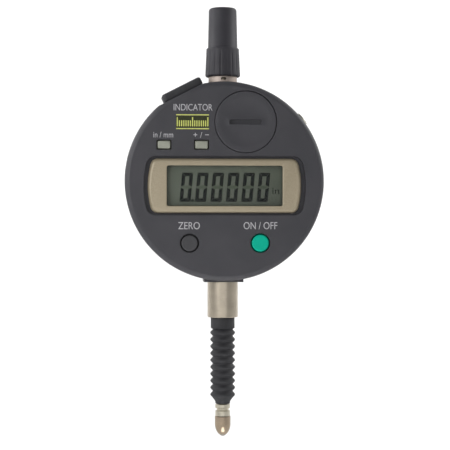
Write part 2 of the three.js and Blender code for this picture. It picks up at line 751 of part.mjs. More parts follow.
// A silicone sheet on the board with a dome under each button of its row.
function buildKeyMat(name, spots, buttonBack) {
  const reach = 3;
  const left = Math.min(...spots.map((spot) => spot[0])) - reach;
  const right = Math.max(...spots.map((spot) => spot[0])) + reach;
  const up = spots[0][1];
  const sheet = block([left, right], [matBack - matThickness, matBack], [up - reach * 0.7, up + reach * 0.7]);
  const domeFront = Math.max(buttonBack + buttonTravel + gap / 2, matBack - matThickness - domeHeight);
  const domes = spots.map(([x]) => turnedForward([[0, domeFront], [1, domeFront], [1.6, matBack - gap / 3],
    [0, matBack - gap / 3]], 16).translate(x, 0, up));
  place(name, carve(sheet, domes, []), 'rubber');
}

// ---- battery ----

function buildBattery() {
  const [x, z] = batteryBay;
  const grooveInside = lidSkirtRadius - lidSealThickness - gap / 3;
  const grooveFront = lidBack + gap;
  const grooveBack = grooveFront + lidSealThickness + gap;
  const lid = turnedForward([[0, faceY], [lidRadius, faceY], [lidRadius, lidBack], [grooveInside, lidBack],
    [grooveInside, grooveBack], [lidSkirtRadius, grooveBack], [lidSkirtRadius, lidSkirtBack],
    [lidSkirtInside, lidSkirtBack], [lidSkirtInside, lidBack], [0, lidBack]], 48);
  const slot = slab(lidSlotLength, lidSlotWidth, faceY - past, faceY + lidSlotDepth);
  place('battery_cover', carve(lid, [], [slot]).translate(x, 0, z), 'capBlack');

  const sealRadius = lidSkirtRadius - lidSealThickness / 2;
  const seal = new THREE.TorusGeometry(sealRadius, lidSealThickness / 2 - gap / 6, 6, 40);
  const sealY = (grooveFront + grooveBack) / 2 - gap / 3;
  place('battery_cover_seal', seal.rotateX(Math.PI / 2).translate(x, sealY, z), 'rubber');

  const radius = batteryDiameter / 2;
  const front = batteryBack - batteryThickness;
  const step = 0.3;
  const cell = turnedForward([[0, front], [radius - step, front], [radius, front + step],
    [radius, batteryBack - 2 * step], [radius - 1, batteryBack - 2 * step], [radius - 1, batteryBack],
    [0, batteryBack]], 32);
  place('battery_cell', cell.translate(x, 0, z), 'steel');

  const leaf = slab(leafWidth, leafWidth, leafBack - leafThickness, leafBack, batteryBay);
  place('battery_contact', leaf, 'brass');
}

// ---- electronics ----

function buildBoard() {
  const disc = peg(boardRadius, boardFront, boardBack, [0, 0], 48);
  const cut = [peg(batteryPocket + bayWall + gap, boardFront - past, boardBack + past, batteryBay, 24)];
  for (const spot of postPlaces) {
    cut.push(peg(boardScrewDiameter / 2 + gap / 2, boardFront - past, boardBack + past, spot, 12));
  }
  place('main_board', carve(disc, [], cut), 'board');
  postPlaces.forEach(([x, z], i) => {
    const back = boardBack + gap + 0.8;
    const screw = crossHead(boardScrewHead / 2, 0.8, back - boardScrewLength, back, boardScrewDiameter / 2);
    place(`board_screw_${i + 1}`, screw.translate(x, 0, z), 'steel');
  });
  const chipFront = boardBack + gap;
  const chip = slab(chipSize, chipSize, chipFront, chipFront + chipThickness, chipPlace);
  place('processor_chip', chip, 'rubber');
  const [width, thickness, height] = crystalSize;
  place('crystal', slab(width, height, chipFront, chipFront + thickness, crystalPlace), 'steel');
}

function buildConnector() {
  const group = new THREE.Group();
  group.rotation.y = turnTo(connectorAngle);
  instrument.add(group);
  const centred = (width, depth, low, high) => {
    const shape = block([-width / 2, width / 2], [-depth / 2, depth / 2], [low, high]);
    return shape.translate(connectorAlong, connectorBack, 0);
  };

  const shellTop = connectorFlat - 2 * gap;
  const shell = centred(socketLength, socketWidth, socketFloor, shellTop);
  const cavityLength = socketLength - 2 * socketWall;
  const cavityWidth = socketWidth - 2 * socketWall;
  const cavity = centred(cavityLength, cavityWidth, socketFloor + socketWall, shellTop + past);
  place('output_socket', carve(shell, [], [cavity]), 'capBlack', group);

  const barTop = shellTop - tongueDepth - gap;
  const bar = centred(cavityLength - 2, contactBarThickness, socketFloor + socketWall + gap, barTop);
  place('socket_contacts', bar, 'brass', group);

  const coverShape = roundedShape(connectorLength, connectorWidth, connectorCornerRadius);
  const coverOptions = { depth: connectorThickness, bevelEnabled: false, curveSegments: 5 };
  const cover = new THREE.ExtrudeGeometry(coverShape, coverOptions);
  cover.translate(connectorAlong, connectorBack, connectorFlat + gap / 2);
  const tongueFloor = shellTop - tongueDepth;
  const tongue = centred(cavityLength - 2 * gap, cavityWidth - 2 * gap, tongueFloor, connectorFlat + gap);
  place('connector_cover', carve(cover, [tongue], []), 'rubber', group);
}

// ---- measuring parts ----

function buildMeasuring() {
  const carrierBack = spindleRadius + carrierWall;
  const span = [carrierFloor, carrierTop];
  const rodBore = guideRodRadius + slip;
  const forkLeft = guideRodAcross - rodBore - guideForkWall;
  const springFoot = carrierFloor - springLength;
  const side = carrierWidth / 2;
  const saddle = block([-side, side], [-spindleRadius / 2, carrierBack], span);
  const guideArm = block([forkLeft, gap - side], [-rodBore - gap, rodBore + gap], span);
  const springArm = block([side - gap, springAcross + springRadius], [-1, 1],
    [carrierFloor + gap, carrierTop - springArmDrop]);
  const cut = [
    rod(spindleRadius + slip, carrierFloor - past, carrierTop + past, 24),
    block([forkLeft - past, guideRodAcross + rodBore], [-rodBore, rodBore],
      [carrierFloor - past, carrierTop + past]),
  ];
  place('scale_carrier', carve(saddle, [guideArm, springArm], cut), 'whitePlastic');

  const guideRod = rod(guideRodRadius, carrierFloor - guideRodBelow, guideRodTop);
  place('guide_rod', guideRod.translate(guideRodAcross, 0, 0), 'steel');
  place('scale_strip', block([-scaleWidth / 2, scaleWidth / 2], [scaleFront, scaleFront + scaleThickness],
    [scaleTop - scaleLength, scaleTop]), 'clear');
  place('detector_board', block([-detectorWidth / 2, detectorWidth / 2], [detectorFront, detectorBack],
    [detectorTop - detectorLength, detectorTop]), 'board');

  class Helix extends THREE.Curve {
    getPoint(t, target = new THREE.Vector3()) {
      const angle = t * springTurns * 2 * Math.PI;
      const height = springFoot + springWire + t * (springLength - springWire);
      const across = springAcross + springRadius * Math.cos(angle);
      return target.set(across, springRadius * Math.sin(angle), height);
    }
  }
  const wire = new THREE.Shape();
  wire.absarc(0, 0, springWire / 2, 0, 2 * Math.PI, false);
  const spring = new THREE.ExtrudeGeometry(wire,
    { steps: springTurns * 9, extrudePath: new Helix(), bevelEnabled: false, curveSegments: 3 });
  place('measuring_spring', spring, 'steel');

  const postPlace = [springAcross, springFoot - springPostDiameter];
  const post = peg(springPostDiameter / 2, -springRadius, rimY, postPlace, 12);
  place('spring_post', post, 'steel');
}

buildCase();
buildStem();
buildCap();
buildSpindle();
buildBoot();
buildDisplay();
buildButtons();
buildBattery();
buildBoard();
buildConnector();
buildMeasuring();

export default indicator;
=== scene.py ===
"""A digital dial indicator in a soft white studio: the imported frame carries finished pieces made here.

Meshes are made in millimetres and placed by matrices that turn them to metres in the frame's axes. The
spindle runs along Z and the display faces -Y.
"""

import math

import bmesh
import bpy
from mathutils import Matrix, Vector


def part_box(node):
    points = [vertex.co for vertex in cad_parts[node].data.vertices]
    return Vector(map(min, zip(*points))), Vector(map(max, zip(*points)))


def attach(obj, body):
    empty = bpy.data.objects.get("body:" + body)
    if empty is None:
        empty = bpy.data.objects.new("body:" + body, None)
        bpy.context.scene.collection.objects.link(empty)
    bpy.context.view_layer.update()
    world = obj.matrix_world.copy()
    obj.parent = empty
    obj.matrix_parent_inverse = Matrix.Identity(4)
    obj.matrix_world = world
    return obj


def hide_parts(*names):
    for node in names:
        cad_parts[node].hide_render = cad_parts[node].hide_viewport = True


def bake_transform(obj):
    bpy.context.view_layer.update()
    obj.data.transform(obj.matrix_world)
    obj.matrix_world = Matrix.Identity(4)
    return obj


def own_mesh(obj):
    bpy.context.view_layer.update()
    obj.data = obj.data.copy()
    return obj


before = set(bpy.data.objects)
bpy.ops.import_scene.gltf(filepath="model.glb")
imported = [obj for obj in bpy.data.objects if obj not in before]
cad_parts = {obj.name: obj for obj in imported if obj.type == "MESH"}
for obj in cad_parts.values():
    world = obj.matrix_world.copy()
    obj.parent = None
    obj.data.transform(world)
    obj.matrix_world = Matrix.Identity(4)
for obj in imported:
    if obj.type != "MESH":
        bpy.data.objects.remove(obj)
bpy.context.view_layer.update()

MM = 0.001

# ---- sizes, mm ----

PAST = 1  # how far a cut runs beyond what it cuts
SOFT_EDGE = 0.12
CRISP = 12  # degrees: any edge sharper than this stays crisp beside a large flat face

RIM_ROLL = (2.4, 1.6)  # half width and half depth of the ellipse that the face's rim follows
RIM_BREAK = 68  # degrees up that ellipse, where the flat face takes over with a slight break
CASE_DRAFT = 0.4
CASE_WALL = 1.8
FACE_WALL = 2.4
FACE_SKIN = 1.4  # inner walls start this far behind the face
BOSS_WALL = 1.29
STEM_BOSS_HEIGHT = 4.2
NECK_BOSS_WALL = 1
NECK_BOSS_HEIGHT = 5.5
NECK_BOSS_FRONT = 3.7
BORE_AIR = 0.08
SEAT_AIR = 0.3
SPINDLE_WAY = 2.7
OPENING_AIR = 0.6
COVER_PLATE = 1.8
COVER_EDGE = 0.5
COUNTERBORE = (2.05, 1.2)  # radius and depth

SCREW_HEAD = (1.9, 0.85)  # radius and height
SCREW_SHANK = (1.0, 6.4)  # radius and reach below the head's top
SCREW_SUNK = 0.15
CROSS = (1.1, 0.26, 0.5)  # half length, half width and depth of each slot
PLUG_ANGLE = 38.5
PLUG_PROUD = 1.4
PLUG_RADIUS = 2.2
PLUG_LENGTH = 3.1  # below the case's side
PLUG_HOLE = (2.3, 3.4)  # radius and depth
PLUG_SLOT = (0.3, 0.5)  # half width and depth

BEZEL_CORNER_INSET = 1.4
BEZEL_CORNER_ROUND = 2.3
BEZEL_ROLL = (1.2, 1.45)  # half width and half depth of the ellipse that the bezel's outer edge follows
BEZEL_ROLL_END = 80  # degrees up that ellipse
BEZEL_INNER_EDGE = 0.25
RECESS_EDGE = 0.35
RECESS_SIDE_MARGIN = 1.25
RECESS_END_MARGIN = 0.7
RECESS_DEPTH = 1.6
OPENING_WIDTH = 35.4
OPENING_HEIGHT = 12.35
OPENING_ROUND = 0.6

DIGIT_COUNT = 6
DIGIT_HEIGHT = 8.9
DIGIT_WIDTH = 3.4
DIGIT_PITCH = 4.73
DIGIT_STROKE = 1.08
DIGIT_SLANT = 0.095  # sideways over up
DIGIT_GAP = 0.14  # between bars
DIGITS_LEFT = -13.8  # foot of the first digit, from the middle of the display
DIGITS_FOOT = -4.85
POINT = 0.8
POINT_GAP = 0.2
INK = 0.02  # thickness of print and of liquid crystal bars

MARK_MIDDLE = (-9.86, 18.0)
MARK_SIZE = (10.0, 4.2)
MARK_LINE = 0.16  # half thickness
MARK_TICKS = 15
MARK_TICK_HALF = 0.17
MARK_FOOT = 1.4  # foot of the ticks, below the mark's middle
MARK_FIELD = 1.75  # half height

ROUND_KEYS = [("button_origin", 2.45), ("button_on_off", 2.55)]
SMALL_KEYS = ["button_in_mm", "button_plus_minus"]
SMALL_KEY = (3.75, 2.25)
SMALL_KEY_MARGIN = 0.42
ROUND_KEY_MARGIN = 0.47
KEY_EDGE = 0.3
KEY_FLANGE = 0.6

BAY_WALL = 1.3
LID_RIM = 1.5
LID_SEAT = 1.8
LID_SEAT_WALL = 2.8
LID_AIR = 0.17
SKIRT_AIR = 0.35
CELL_AIR = 0.3
CELL_FLOOR_WALL = 0.6
LID_GROOVE = 0.95
LID_GROOVE_END = 2.9
LID_EDGE = 0.25
LID_DISH_RADIUS = 7.3
LID_DISH_DEPTH = 0.08
LID_SLOT = (9.9, 1.55)
LID_SLOT_DEPTH = 1.1
LID_LIP = 0.35
CELL_STEP = (1.0, 0.6)  # how far in and how far up the cell's smaller pole goes
CELL_EDGE = 0.3
CELL_MARK = (1.6, 0.25, 0.08)  # arm, half width and depth of the plus sign

CONNECTOR_FLAT_CUT = 1.0
CONNECTOR_ANGLE = 117
CONNECTOR_ALONG = 1.2
CONNECTOR_BACK = -1.2
CONNECTOR_CAP = (13.4, 8.4)
CONNECTOR_CAP_SHIFT = 0.25
CONNECTOR_CAP_THICKNESS = 2.7
CONNECTOR_CAP_AIR = 0.15
SOCKET_HOLE = (5.3, 3)  # half length and half width
SOCKET_HOLE_FLOOR = 20.8  # from the case's middle
SOCKET_SHELL = (10, 5.4)
SOCKET_CAVITY = (7.6, 3)
TONGUE = (3.5, 1.2, 2.9)  # half length, half width and reach below the flat

NECK_WALL = 0.95
NECK_EDGE = 0.25
VENT = (1.5, 0.9)
VENT_RISE = 1.4  # above the case's top
BUSH_BORE = 2.55
BUSH_EDGE = 0.2
CAP_BORE = 3.15
CAP_NECK_AIR = 0.12
CAP_END_WALL = 1.5
SKIRT_HEIGHT = 9
SKIRT_TAPER = 0.35
SKIRT_ROWS = 12
BARREL = (4.6, 4.35)  # radius at its foot and head
BARREL_ROUND = 1.0
FLUTES = 18
FLUTE_DEPTH = 0.14
STEM_BORE = 3.5
STEM_EDGE = 0.2

BOOT_FOLDS = 10
BOOT_FOLD_DEPTH = 0.75
BOOT_FOLD_ROWS = 12
BOOT_COLLAR_RADIUS = 3.725
BOOT_NECK_LENGTH = 3.1
BOOT_COLLAR_AIR = 0.03
BOOT_LEAD = 0.4
BOOT_TAPER_LENGTH = 1.7
BOOT_LIP_RADIUS = 2.325
BOOT_WALL = 0.5
SPINDLE_END = (0.75, 4.6)  # how much thinner the spindle's lower end is, and how long
SPINDLE_EDGE = 0.3
SOCKET_BORE = (1.25, 5.3)  # radius and depth of the thread's hole for the contact point
POINT_AIR = 0.15
POINT_COLLAR_STEP = 0.15
POINT_COLLAR_LENGTH = 3.85
POINT_COLLAR_EDGE = 0.1
POINT_GROOVE = (1.35, 0.75, 1.85)  # its top below the collar's, its width, and its floor's radius
POINT_STUD = 1.1
POINT_NOSE = 3.9  # rounded length of the contact point, ball included
SPRING_WIRE = 0.225  # radius
SPRING_TURNS = 8

REAR_SCREWS = [f"rear_cover_screw_{count}" for count in range(1, 5)]

# ---- the frame's own places, mm ----


def node_box(name):
    low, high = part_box(name)
    return Vector(low) / MM, Vector(high) / MM


def middle(name):
    low, high = node_box(name)
    return (low + high) / 2


def span(name):
    low, high = node_box(name)
    return high - low


def half_width(name):
    low, high = node_box(name)
    return (high.x - low.x) / 2


def heights(name):
    """A node's front and back, measured out from the face."""
    low, high = node_box(name)
    return FACE_Y - low.y, FACE_Y - high.y


case_low, case_high = node_box("front_case")
cover_high = node_box("rear_cover")[1]
CASE_RADIUS = case_high.x
CASE_UP = middle("rear_cover").z
FACE_Y = node_box("display_bezel")[0].y
RIM_DEPTH = case_high.y - FACE_Y
COVER_FRONT_DEPTH = cover_high.y - COVER_PLATE - FACE_Y
BACK_DEPTH = cover_high.y - FACE_Y
COVER_RADIUS = cover_high.x
CONNECTOR_FLAT = CASE_RADIUS - CONNECTOR_FLAT_CUT
STEM_BOSS_FLOOR = case_low.z
AXIS_DEPTH = -FACE_Y

UPRIGHT = Matrix.Scale(MM, 4)
# On the face: local X to the right, local Y up, local Z out towards the reader, from the case's middle.
FACE = Matrix.Translation((0, FACE_Y * MM, CASE_UP * MM)) @ Matrix.Rotation(math.radians(90), 4, "X")
FACE = FACE @ Matrix.Scale(MM, 4)


def on_face(name):
    """The face's matrix, moved to the middle of a node."""
    spot = middle(name)
    return FACE @ Matrix.Translation((spot.x, spot.z - CASE_UP, 0))


def outwards(angle):
    """From the middle of the case: local Z out at an angle from +X, local Y towards the back."""
    turn = Matrix.Rotation(math.radians(90 - angle), 4, "Y")
    return Matrix.Translation((0, 0, CASE_UP * MM)) @ turn @ Matrix.Scale(MM, 4)


# ---- making meshes ----


def from_bmesh(name, work, place):
    mesh = bpy.data.meshes.new(name)
    work.transform(place)
    if place.determinant() < 0:
        bmesh.ops.reverse_faces(work, faces=work.faces)
    work.to_mesh(mesh)
    work.free()
    piece = bpy.data.objects.new(name, mesh)
    bpy.context.scene.collection.objects.link(piece)
    return piece


def turned(name, outline, place=UPRIGHT, segments=128):
    """A piece turned about local Z, from (radius, height) points given upwards on the outside. A third
    value is the depth of the flutes there."""
    work = bmesh.new()
    rings = []
    for radius, height, *flute in outline:
        if radius < 1e-6:
            rings.append([work.verts.new((0, 0, height))])
            continue
        ring = []
        for step in range(segments):
            angle = math.tau * step / segments
            groove = max(0.0, math.cos(FLUTES * angle)) ** 2
            reach = radius - (flute[0] * groove if flute else 0)
            ring.append(work.verts.new((reach * math.cos(angle), reach * math.sin(angle), height)))
        rings.append(ring)
    if len(rings[0]) > 1 and len(rings[-1]) > 1:
        rings.append(rings[0])
    for low, high in zip(rings, rings[1:]):
        if len(low) == len(high) == 1:
            continue
        for step in range(segments):
            after = (step + 1) % segments
            if len(low) == 1:
                work.faces.new((low[0], high[after], high[step]))
            elif len(high) == 1:
                work.faces.new((low[step], low[after], high[0]))
            else:
                work.faces.new((low[step], low[after], high[after], high[step]))
    return from_bmesh(name, work, place)


def stacked(name, outlines, place=FACE):
    """A solid through (outline, height) pairs, lowest first, each outline with the same count of points."""
    work = bmesh.new()
    rings = [[work.verts.new((x, y, height)) for x, y in outline] for outline, height in outlines]
    work.faces.new(reversed(rings[0]))
    work.faces.new(rings[-1])
    for low, high in zip(rings, rings[1:]):
        for step in range(len(low)):
            after = (step + 1) % len(low)
            work.faces.new((low[step], low[after], high[after], high[step]))
    return from_bmesh(name, work, place)


def plate(name, outline, low, high, place=FACE):
    """A flat outline given thickness from low to high along local Z."""
    return stacked(name, [(outline, low), (outline, high)], place)


def block(name, x_span, y_span, z_span, place=FACE):
    left, right = x_span
    foot, head = y_span
    return plate(name, [(left, foot), (right, foot), (right, head), (left, head)], *z_span, place)


def post(name, radius, low, high, place=FACE, segments=96):
    return turned(name, [(0, low), (radius, low), (radius, high), (0, high)], place, segments)


def arc(middle_x, middle_y, radius, start, stop, steps=8):
    """Points along an arc, angles in degrees."""
    angles = [math.radians(start + (stop - start) * step / steps) for step in range(steps + 1)]
    return [(middle_x + radius * math.cos(a), middle_y + radius * math.sin(a)) for a in angles]


def rounded_outline(width, height, radius):
    x, y = width / 2 - radius, height / 2 - radius
    return (arc(x, y, radius, 0, 90) + arc(-x, y, radius, 90, 180) + arc(-x, -y, radius, 180, 270)
            + arc(x, -y, radius, 270, 360))


def bulged_outline(half_width, corner_inset, height, corner):
    """Level top and bottom, bulging sides, and rounded corners between them."""
    half = height / 2
    radius = (half * half + corner_inset * corner_inset) / (2 * corner_inset)
    centre = half_width - radius
    corner_y = half - corner
    corner_x = centre + math.sqrt((radius - corner) ** 2 - corner_y ** 2)
    lean = math.degrees(math.atan2(corner_y, corner_x - centre))
    right = arc(centre, 0, radius, -lean, lean, 24) + arc(corner_x, corner_y, corner, lean, 90)[1:]
    left = [(-x, y) for x, y in reversed(right)]
    lower_right = [(x, -y) for x, y in reversed(arc(corner_x, corner_y, corner, lean, 90)[1:])]
    lower_left = [(-x, y) for x, y in reversed(lower_right)]
    return right + left + lower_left + lower_right


def settle(piece):
    """Applies the piece's modifiers to its mesh."""
    graph = bpy.context.evaluated_depsgraph_get()
    mesh = bpy.data.meshes.new_from_object(piece.evaluated_get(graph))
    piece.modifiers.clear()
    before = piece.data
    piece.data = mesh
    bpy.data.meshes.remove(before)
    return piece


def combine(piece, others, operation):
    """Joins or cuts one piece with others, which are used up."""
    for other in others:
        step = piece.modifiers.new(operation.lower(), "BOOLEAN")
        step.operation = operation
        step.solver = "EXACT"
        step.object = other
        settle(piece)
        used = other.data
        bpy.data.objects.remove(other)
        bpy.data.meshes.remove(used)
    return piece


def soften(piece, width=SOFT_EDGE, segments=2, angle=38):
    """Rounds the piece's sharp edges, as moulding and deburring leave them."""
    step = piece.modifiers.new("edges", "BEVEL")
    step.width = width * MM
    step.segments = segments
    step.limit_method = "ANGLE"
    step.angle_limit = math.radians(angle)
    step.miter_outer = "MITER_ARC"
    step.harden_normals = False
    return settle(piece)


def finish(piece, material, body, nodes=(), smooth=32):
    """Shades, paints and hangs a finished piece on its body, in place of its frame nodes."""
    piece.data.shade_smooth()
    piece.data.set_sharp_from_angle(angle=math.radians(smooth))
    piece.data.materials.clear()
    piece.data.materials.append(material)
    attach(piece, body)
    if nodes:
        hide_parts(*nodes)
    return piece


# ---- materials ----


def rgb(code, alpha=1.0):
    """An sRGB hex colour as linear values."""
    values = [int(code[i:i + 2], 16) / 255 for i in (1, 3, 5)]
    linear = [v / 12.92 if v <= 0.04045 else ((v + 0.055) / 1.055) ** 2.4 for v in values]
    return (*linear, alpha)


def add_node(tree, kind, inputs=None, **settings):
    """Adds a node. Inputs are values, or other nodes' output sockets to link from."""
    made = tree.nodes.new(kind)
    for name, value in settings.items():
        setattr(made, name, value)
    for socket, value in (inputs or {}).items():
        if isinstance(value, bpy.types.NodeSocket):
            tree.links.new(value, made.inputs[socket])
        else:
            made.inputs[socket].default_value = value
    return made


def new_material(name, **sockets):
    """A material with one principled shader. Returns it, its node tree and the shader."""
    material = bpy.data.materials.new(name)
    material.use_nodes = True
    tree = material.node_tree
    shader = tree.nodes["Principled BSDF"]
    for socket, value in sockets.items():
        shader.inputs[socket.replace("_", " ")].default_value = value
    return material, tree, shader


def grain(tree, size, detail=3.0, stretch=(1, 1, 1)):
    """Noise in object space, size in mm, drawn out along the axes by stretch."""
    where = add_node(tree, "ShaderNodeTexCoord").outputs["Object"]
    scale = [1 / (size * MM * factor) for factor in stretch]
    spread = add_node(tree, "ShaderNodeMapping", {"Vector": where, "Scale": scale})
    inputs = {"Vector": spread.outputs[0], "Scale": 1.0, "Detail": detail}
    return add_node(tree, "ShaderNodeTexNoise", inputs).outputs["Fac"]


def tint(tree, shader, factor, dark, light, low=0.3, high=0.7):
    """Colours the surface between two tints as factor goes from low to high."""
    ramp = add_node(tree, "ShaderNodeValToRGB", {"Fac": factor})
    ramp.color_ramp.elements[0].position = low
    ramp.color_ramp.elements[0].color = rgb(dark)
    ramp.color_ramp.elements[1].position = high
    ramp.color_ramp.elements[1].color = rgb(light)
    tree.links.new(ramp.outputs["Color"], shader.inputs["Base Color"])


def gloss(tree, shader, factor, low, high):
    """Varies roughness from low to high with factor."""
    spread = add_node(tree, "ShaderNodeMapRange", {"Value": factor, "To Min": low, "To Max": high})
    tree.links.new(spread.outputs[0], shader.inputs["Roughness"])


def relief(tree, shader, factor, depth):
    """Raises the surface by up to depth, in mm."""
    bump = add_node(tree, "ShaderNodeBump", {"Height": factor, "Distance": depth * MM, "Strength": 1.0})
    tree.links.new(bump.outputs[0], shader.inputs["Normal"])


def moulded_abs():
    """Textured ABS of the case: a spark-eroded grain of about 0.28 mm gives a soft satin dark grey."""
    material, tree, shader = new_material("moulded_abs")
    tint(tree, shader, grain(tree, 9), "#2f2f34", "#353439")
    gloss(tree, shader, grain(tree, 2.5), 0.46, 0.58)
    relief(tree, shader, grain(tree, 0.28, 2), 0.006)
    return material


def smooth_abs():
    """Satin ABS of the top cap and the socket's shell: a coarser, shallower grain than the case's."""
    material, tree, shader = new_material("smooth_abs", Specular_IOR_Level=0.3)
    tint(tree, shader, grain(tree, 5), "#2d2c31", "#323136")
    gloss(tree, shader, grain(tree, 1.6), 0.46, 0.58)
    relief(tree, shader, grain(tree, 0.4, 2), 0.004)
    return material


def key_plastic(name, dark, light, low, high, shine=0.5):
    """Moulded key plastic: even colour with faint flow clouding and a satin top."""
    material, tree, shader = new_material(name, Specular_IOR_Level=shine)
    tint(tree, shader, grain(tree, 1.8), dark, light)
    gloss(tree, shader, grain(tree, 0.8), low, high)
    relief(tree, shader, grain(tree, 0.3, 2), 0.003)
    return material


def champagne_lacquer():
    """Satin champagne lacquer on the bezel: fine metal flake of about 0.2 mm under a clear coat."""
    material, tree, shader = new_material("champagne_lacquer", Metallic=0.15)
    flake = grain(tree, 0.22, 2)
    tint(tree, shader, flake, "#8f846e", "#9f947e")
    gloss(tree, shader, grain(tree, 0.5), 0.36, 0.46)
    relief(tree, shader, flake, 0.003)
    return material


def turned_steel(name, dark, light, low=0.24, high=0.36, ring=0.22):
    """Fine-turned steel: tool rings around the axis, coarser than real ones so that they show."""
    material, tree, shader = new_material(name, Metallic=1.0, Anisotropic=0.35)
    rings = grain(tree, ring, 2, (60, 60, 1))
    tint(tree, shader, grain(tree, 3), dark, light)
    gloss(tree, shader, rings, low, high)
    relief(tree, shader, rings, 0.0012)
    return material


def ground_carbide():
    """Lapped tungsten carbide of the tip ball: dark, even and bright, with the faintest haze."""
    material, tree, shader = new_material("ground_carbide", Metallic=1.0)
    tint(tree, shader, grain(tree, 0.4), "#8f8a83", "#a29c93")
    gloss(tree, shader, grain(tree, 0.3), 0.14, 0.22)
    return material


def nitrile_rubber(name="nitrile_rubber", dark="#1f1f22", light="#27272a"):
    """Moulded nitrile: matt black with dusty clouding and a fine skin texture."""
    material, tree, shader = new_material(name, Specular_IOR_Level=0.35)
    tint(tree, shader, grain(tree, 2.2), dark, light)
    gloss(tree, shader, grain(tree, 0.9), 0.55, 0.72)
    relief(tree, shader, grain(tree, 0.2, 2), 0.006)
    return material


def machined_brass():
    """Machined brass of the bushes and contacts: warm yellow with tool rings."""
    material, tree, shader = new_material("machined_brass", Metallic=1.0)
    tint(tree, shader, grain(tree, 1.5), "#a5803f", "#bd9a55")
    gloss(tree, shader, grain(tree, 0.2, 2, (40, 40, 1)), 0.25, 0.4)
    return material


def clear_acrylic():
    """Clear acrylic of the window: see-through, with a reflection that grows towards grazing angles."""
    material = bpy.data.materials.new("clear_acrylic")
    material.use_nodes = True
    tree = material.node_tree
    tree.nodes.remove(tree.nodes["Principled BSDF"])
    clear = add_node(tree, "ShaderNodeBsdfTransparent", {"Color": rgb("#f2f4f1")})
    haze_range = {"Value": grain(tree, 4), "To Min": 0.04, "To Max": 0.09}
    haze = add_node(tree, "ShaderNodeMapRange", haze_range)
    shine = add_node(tree, "ShaderNodeBsdfGlossy", {"Roughness": haze.outputs[0]})
    edge = add_node(tree, "ShaderNodeFresnel", {"IOR": 1.49})
    weak = add_node(tree, "ShaderNodeMath", {0: edge.outputs[0], 1: 0.3}, operation="MULTIPLY")
    layers = {0: weak.outputs[0], 1: clear.outputs[0], 2: shine.outputs[0]}
    mix = add_node(tree, "ShaderNodeMixShader", layers)
    tree.links.new(mix.outputs[0], tree.nodes["Material Output"].inputs["Surface"])
    return material


def lcd_polariser():
    """Grey-green reflective liquid crystal glass: an even matt polariser film with a slight grain."""
    material, tree, shader = new_material("lcd_polariser")
    tint(tree, shader, grain(tree, 6), "#646860", "#6d7168")
    gloss(tree, shader, grain(tree, 0.6), 0.42, 0.55)
    relief(tree, shader, grain(tree, 0.25, 1), 0.002)
    return material


def print_ink(name, dark, light):
    """Pad-printed ink: thin, matt and very slightly mottled."""
    material, tree, shader = new_material(name, Specular_IOR_Level=0.2)
    tint(tree, shader, grain(tree, 0.5), dark, light)
    gloss(tree, shader, grain(tree, 0.4), 0.5, 0.65)
    return material


def circuit_board():
    """Green solder resist on glass fibre, whose cloth shows as faint mottling about 0.5 mm across."""
    material, tree, shader = new_material("circuit_board", Coat_Weight=0.3)
    tint(tree, shader, grain(tree, 0.5, 1), "#17472f", "#1f5a3a")
    gloss(tree, shader, grain(tree, 1.2), 0.3, 0.45)
    relief(tree, shader, grain(tree, 0.5, 1), 0.01)
    return material


def white_nylon():
    """Moulded nylon of the inner frame and carrier: off-white and waxy."""
    material, tree, shader = new_material("white_nylon", Subsurface_Weight=0.05)
    tint(tree, shader, grain(tree, 3), "#c9c7bf", "#d8d6cf")
    gloss(tree, shader, grain(tree, 1), 0.4, 0.55)
    return material


def etched_scale():
    """Glass scale with etched divisions 0.5 mm apart across it, alternating clear and grey."""
    material, tree, shader = new_material("etched_scale", Roughness=0.15)
    where = add_node(tree, "ShaderNodeTexCoord").outputs["Object"]
    inputs = {"Vector": where, "Scale": 0.314 / (0.5 * MM)}
    lines = add_node(tree, "ShaderNodeTexWave", inputs, bands_direction="Z")
    tint(tree, shader, lines.outputs["Fac"], "#5d655f", "#b9c0b8", 0.45, 0.55)
    gloss(tree, shader, grain(tree, 1), 0.1, 0.2)
    return material


ABS = moulded_abs()
CAP_ABS = smooth_abs()
GREY_KEY = key_plastic("grey_key_plastic", "#85877b", "#8f9185", 0.42, 0.55)
GREEN_KEY = key_plastic("green_key_plastic", "#00a287", "#02ab90", 0.34, 0.45, 0.12)
DARK_KEY = key_plastic("dark_key_plastic", "#2e2e31", "#343437", 0.36, 0.48)
LACQUER = champagne_lacquer()
STEEL = turned_steel("nickel_steel", "#a89f90", "#b5ab9b")
NECK_STEEL = turned_steel("warm_nickel_neck", "#9a8f87", "#a79c94", 0.48, 0.58)
COLLAR_STEEL = turned_steel("nickel_collar", "#b0aa9b", "#bdb7a7", 0.26, 0.36)
TIP_STEEL = turned_steel("polished_tip_steel", "#8d7f6f", "#9c8d79", 0.16, 0.26)
BRIGHT_STEEL = turned_steel("plated_screw_steel", "#b5b1a8", "#c4c0b8", 0.2, 0.3, 0.1)
CARBIDE = ground_carbide()
RUBBER = nitrile_rubber()
COVER_RUBBER = nitrile_rubber("cover_rubber_skin", "#323235", "#3c3c3f")
SILICONE = nitrile_rubber("grey_silicone", "#5d5d60", "#6a6a6d")
BRASS = machined_brass()
ACRYLIC = clear_acrylic()
POLARISER = lcd_polariser()
SEGMENT_INK = print_ink("liquid_crystal_dark", "#04070c", "#080c12")
GHOST_INK = print_ink("liquid_crystal_faint", "#5b6157", "#60665b")
GREY_INK = print_ink("pale_grey_ink", "#a2a1a5", "#b4b3b6")
YELLOW_INK = print_ink("yellow_green_ink", "#b6bc62", "#c7cb74")
OLIVE_INK = print_ink("olive_ink", "#2b2e1c", "#333720")
BOARD = circuit_board()
NYLON = white_nylon()
SCALE_GLASS = etched_scale()


# ---- case ----


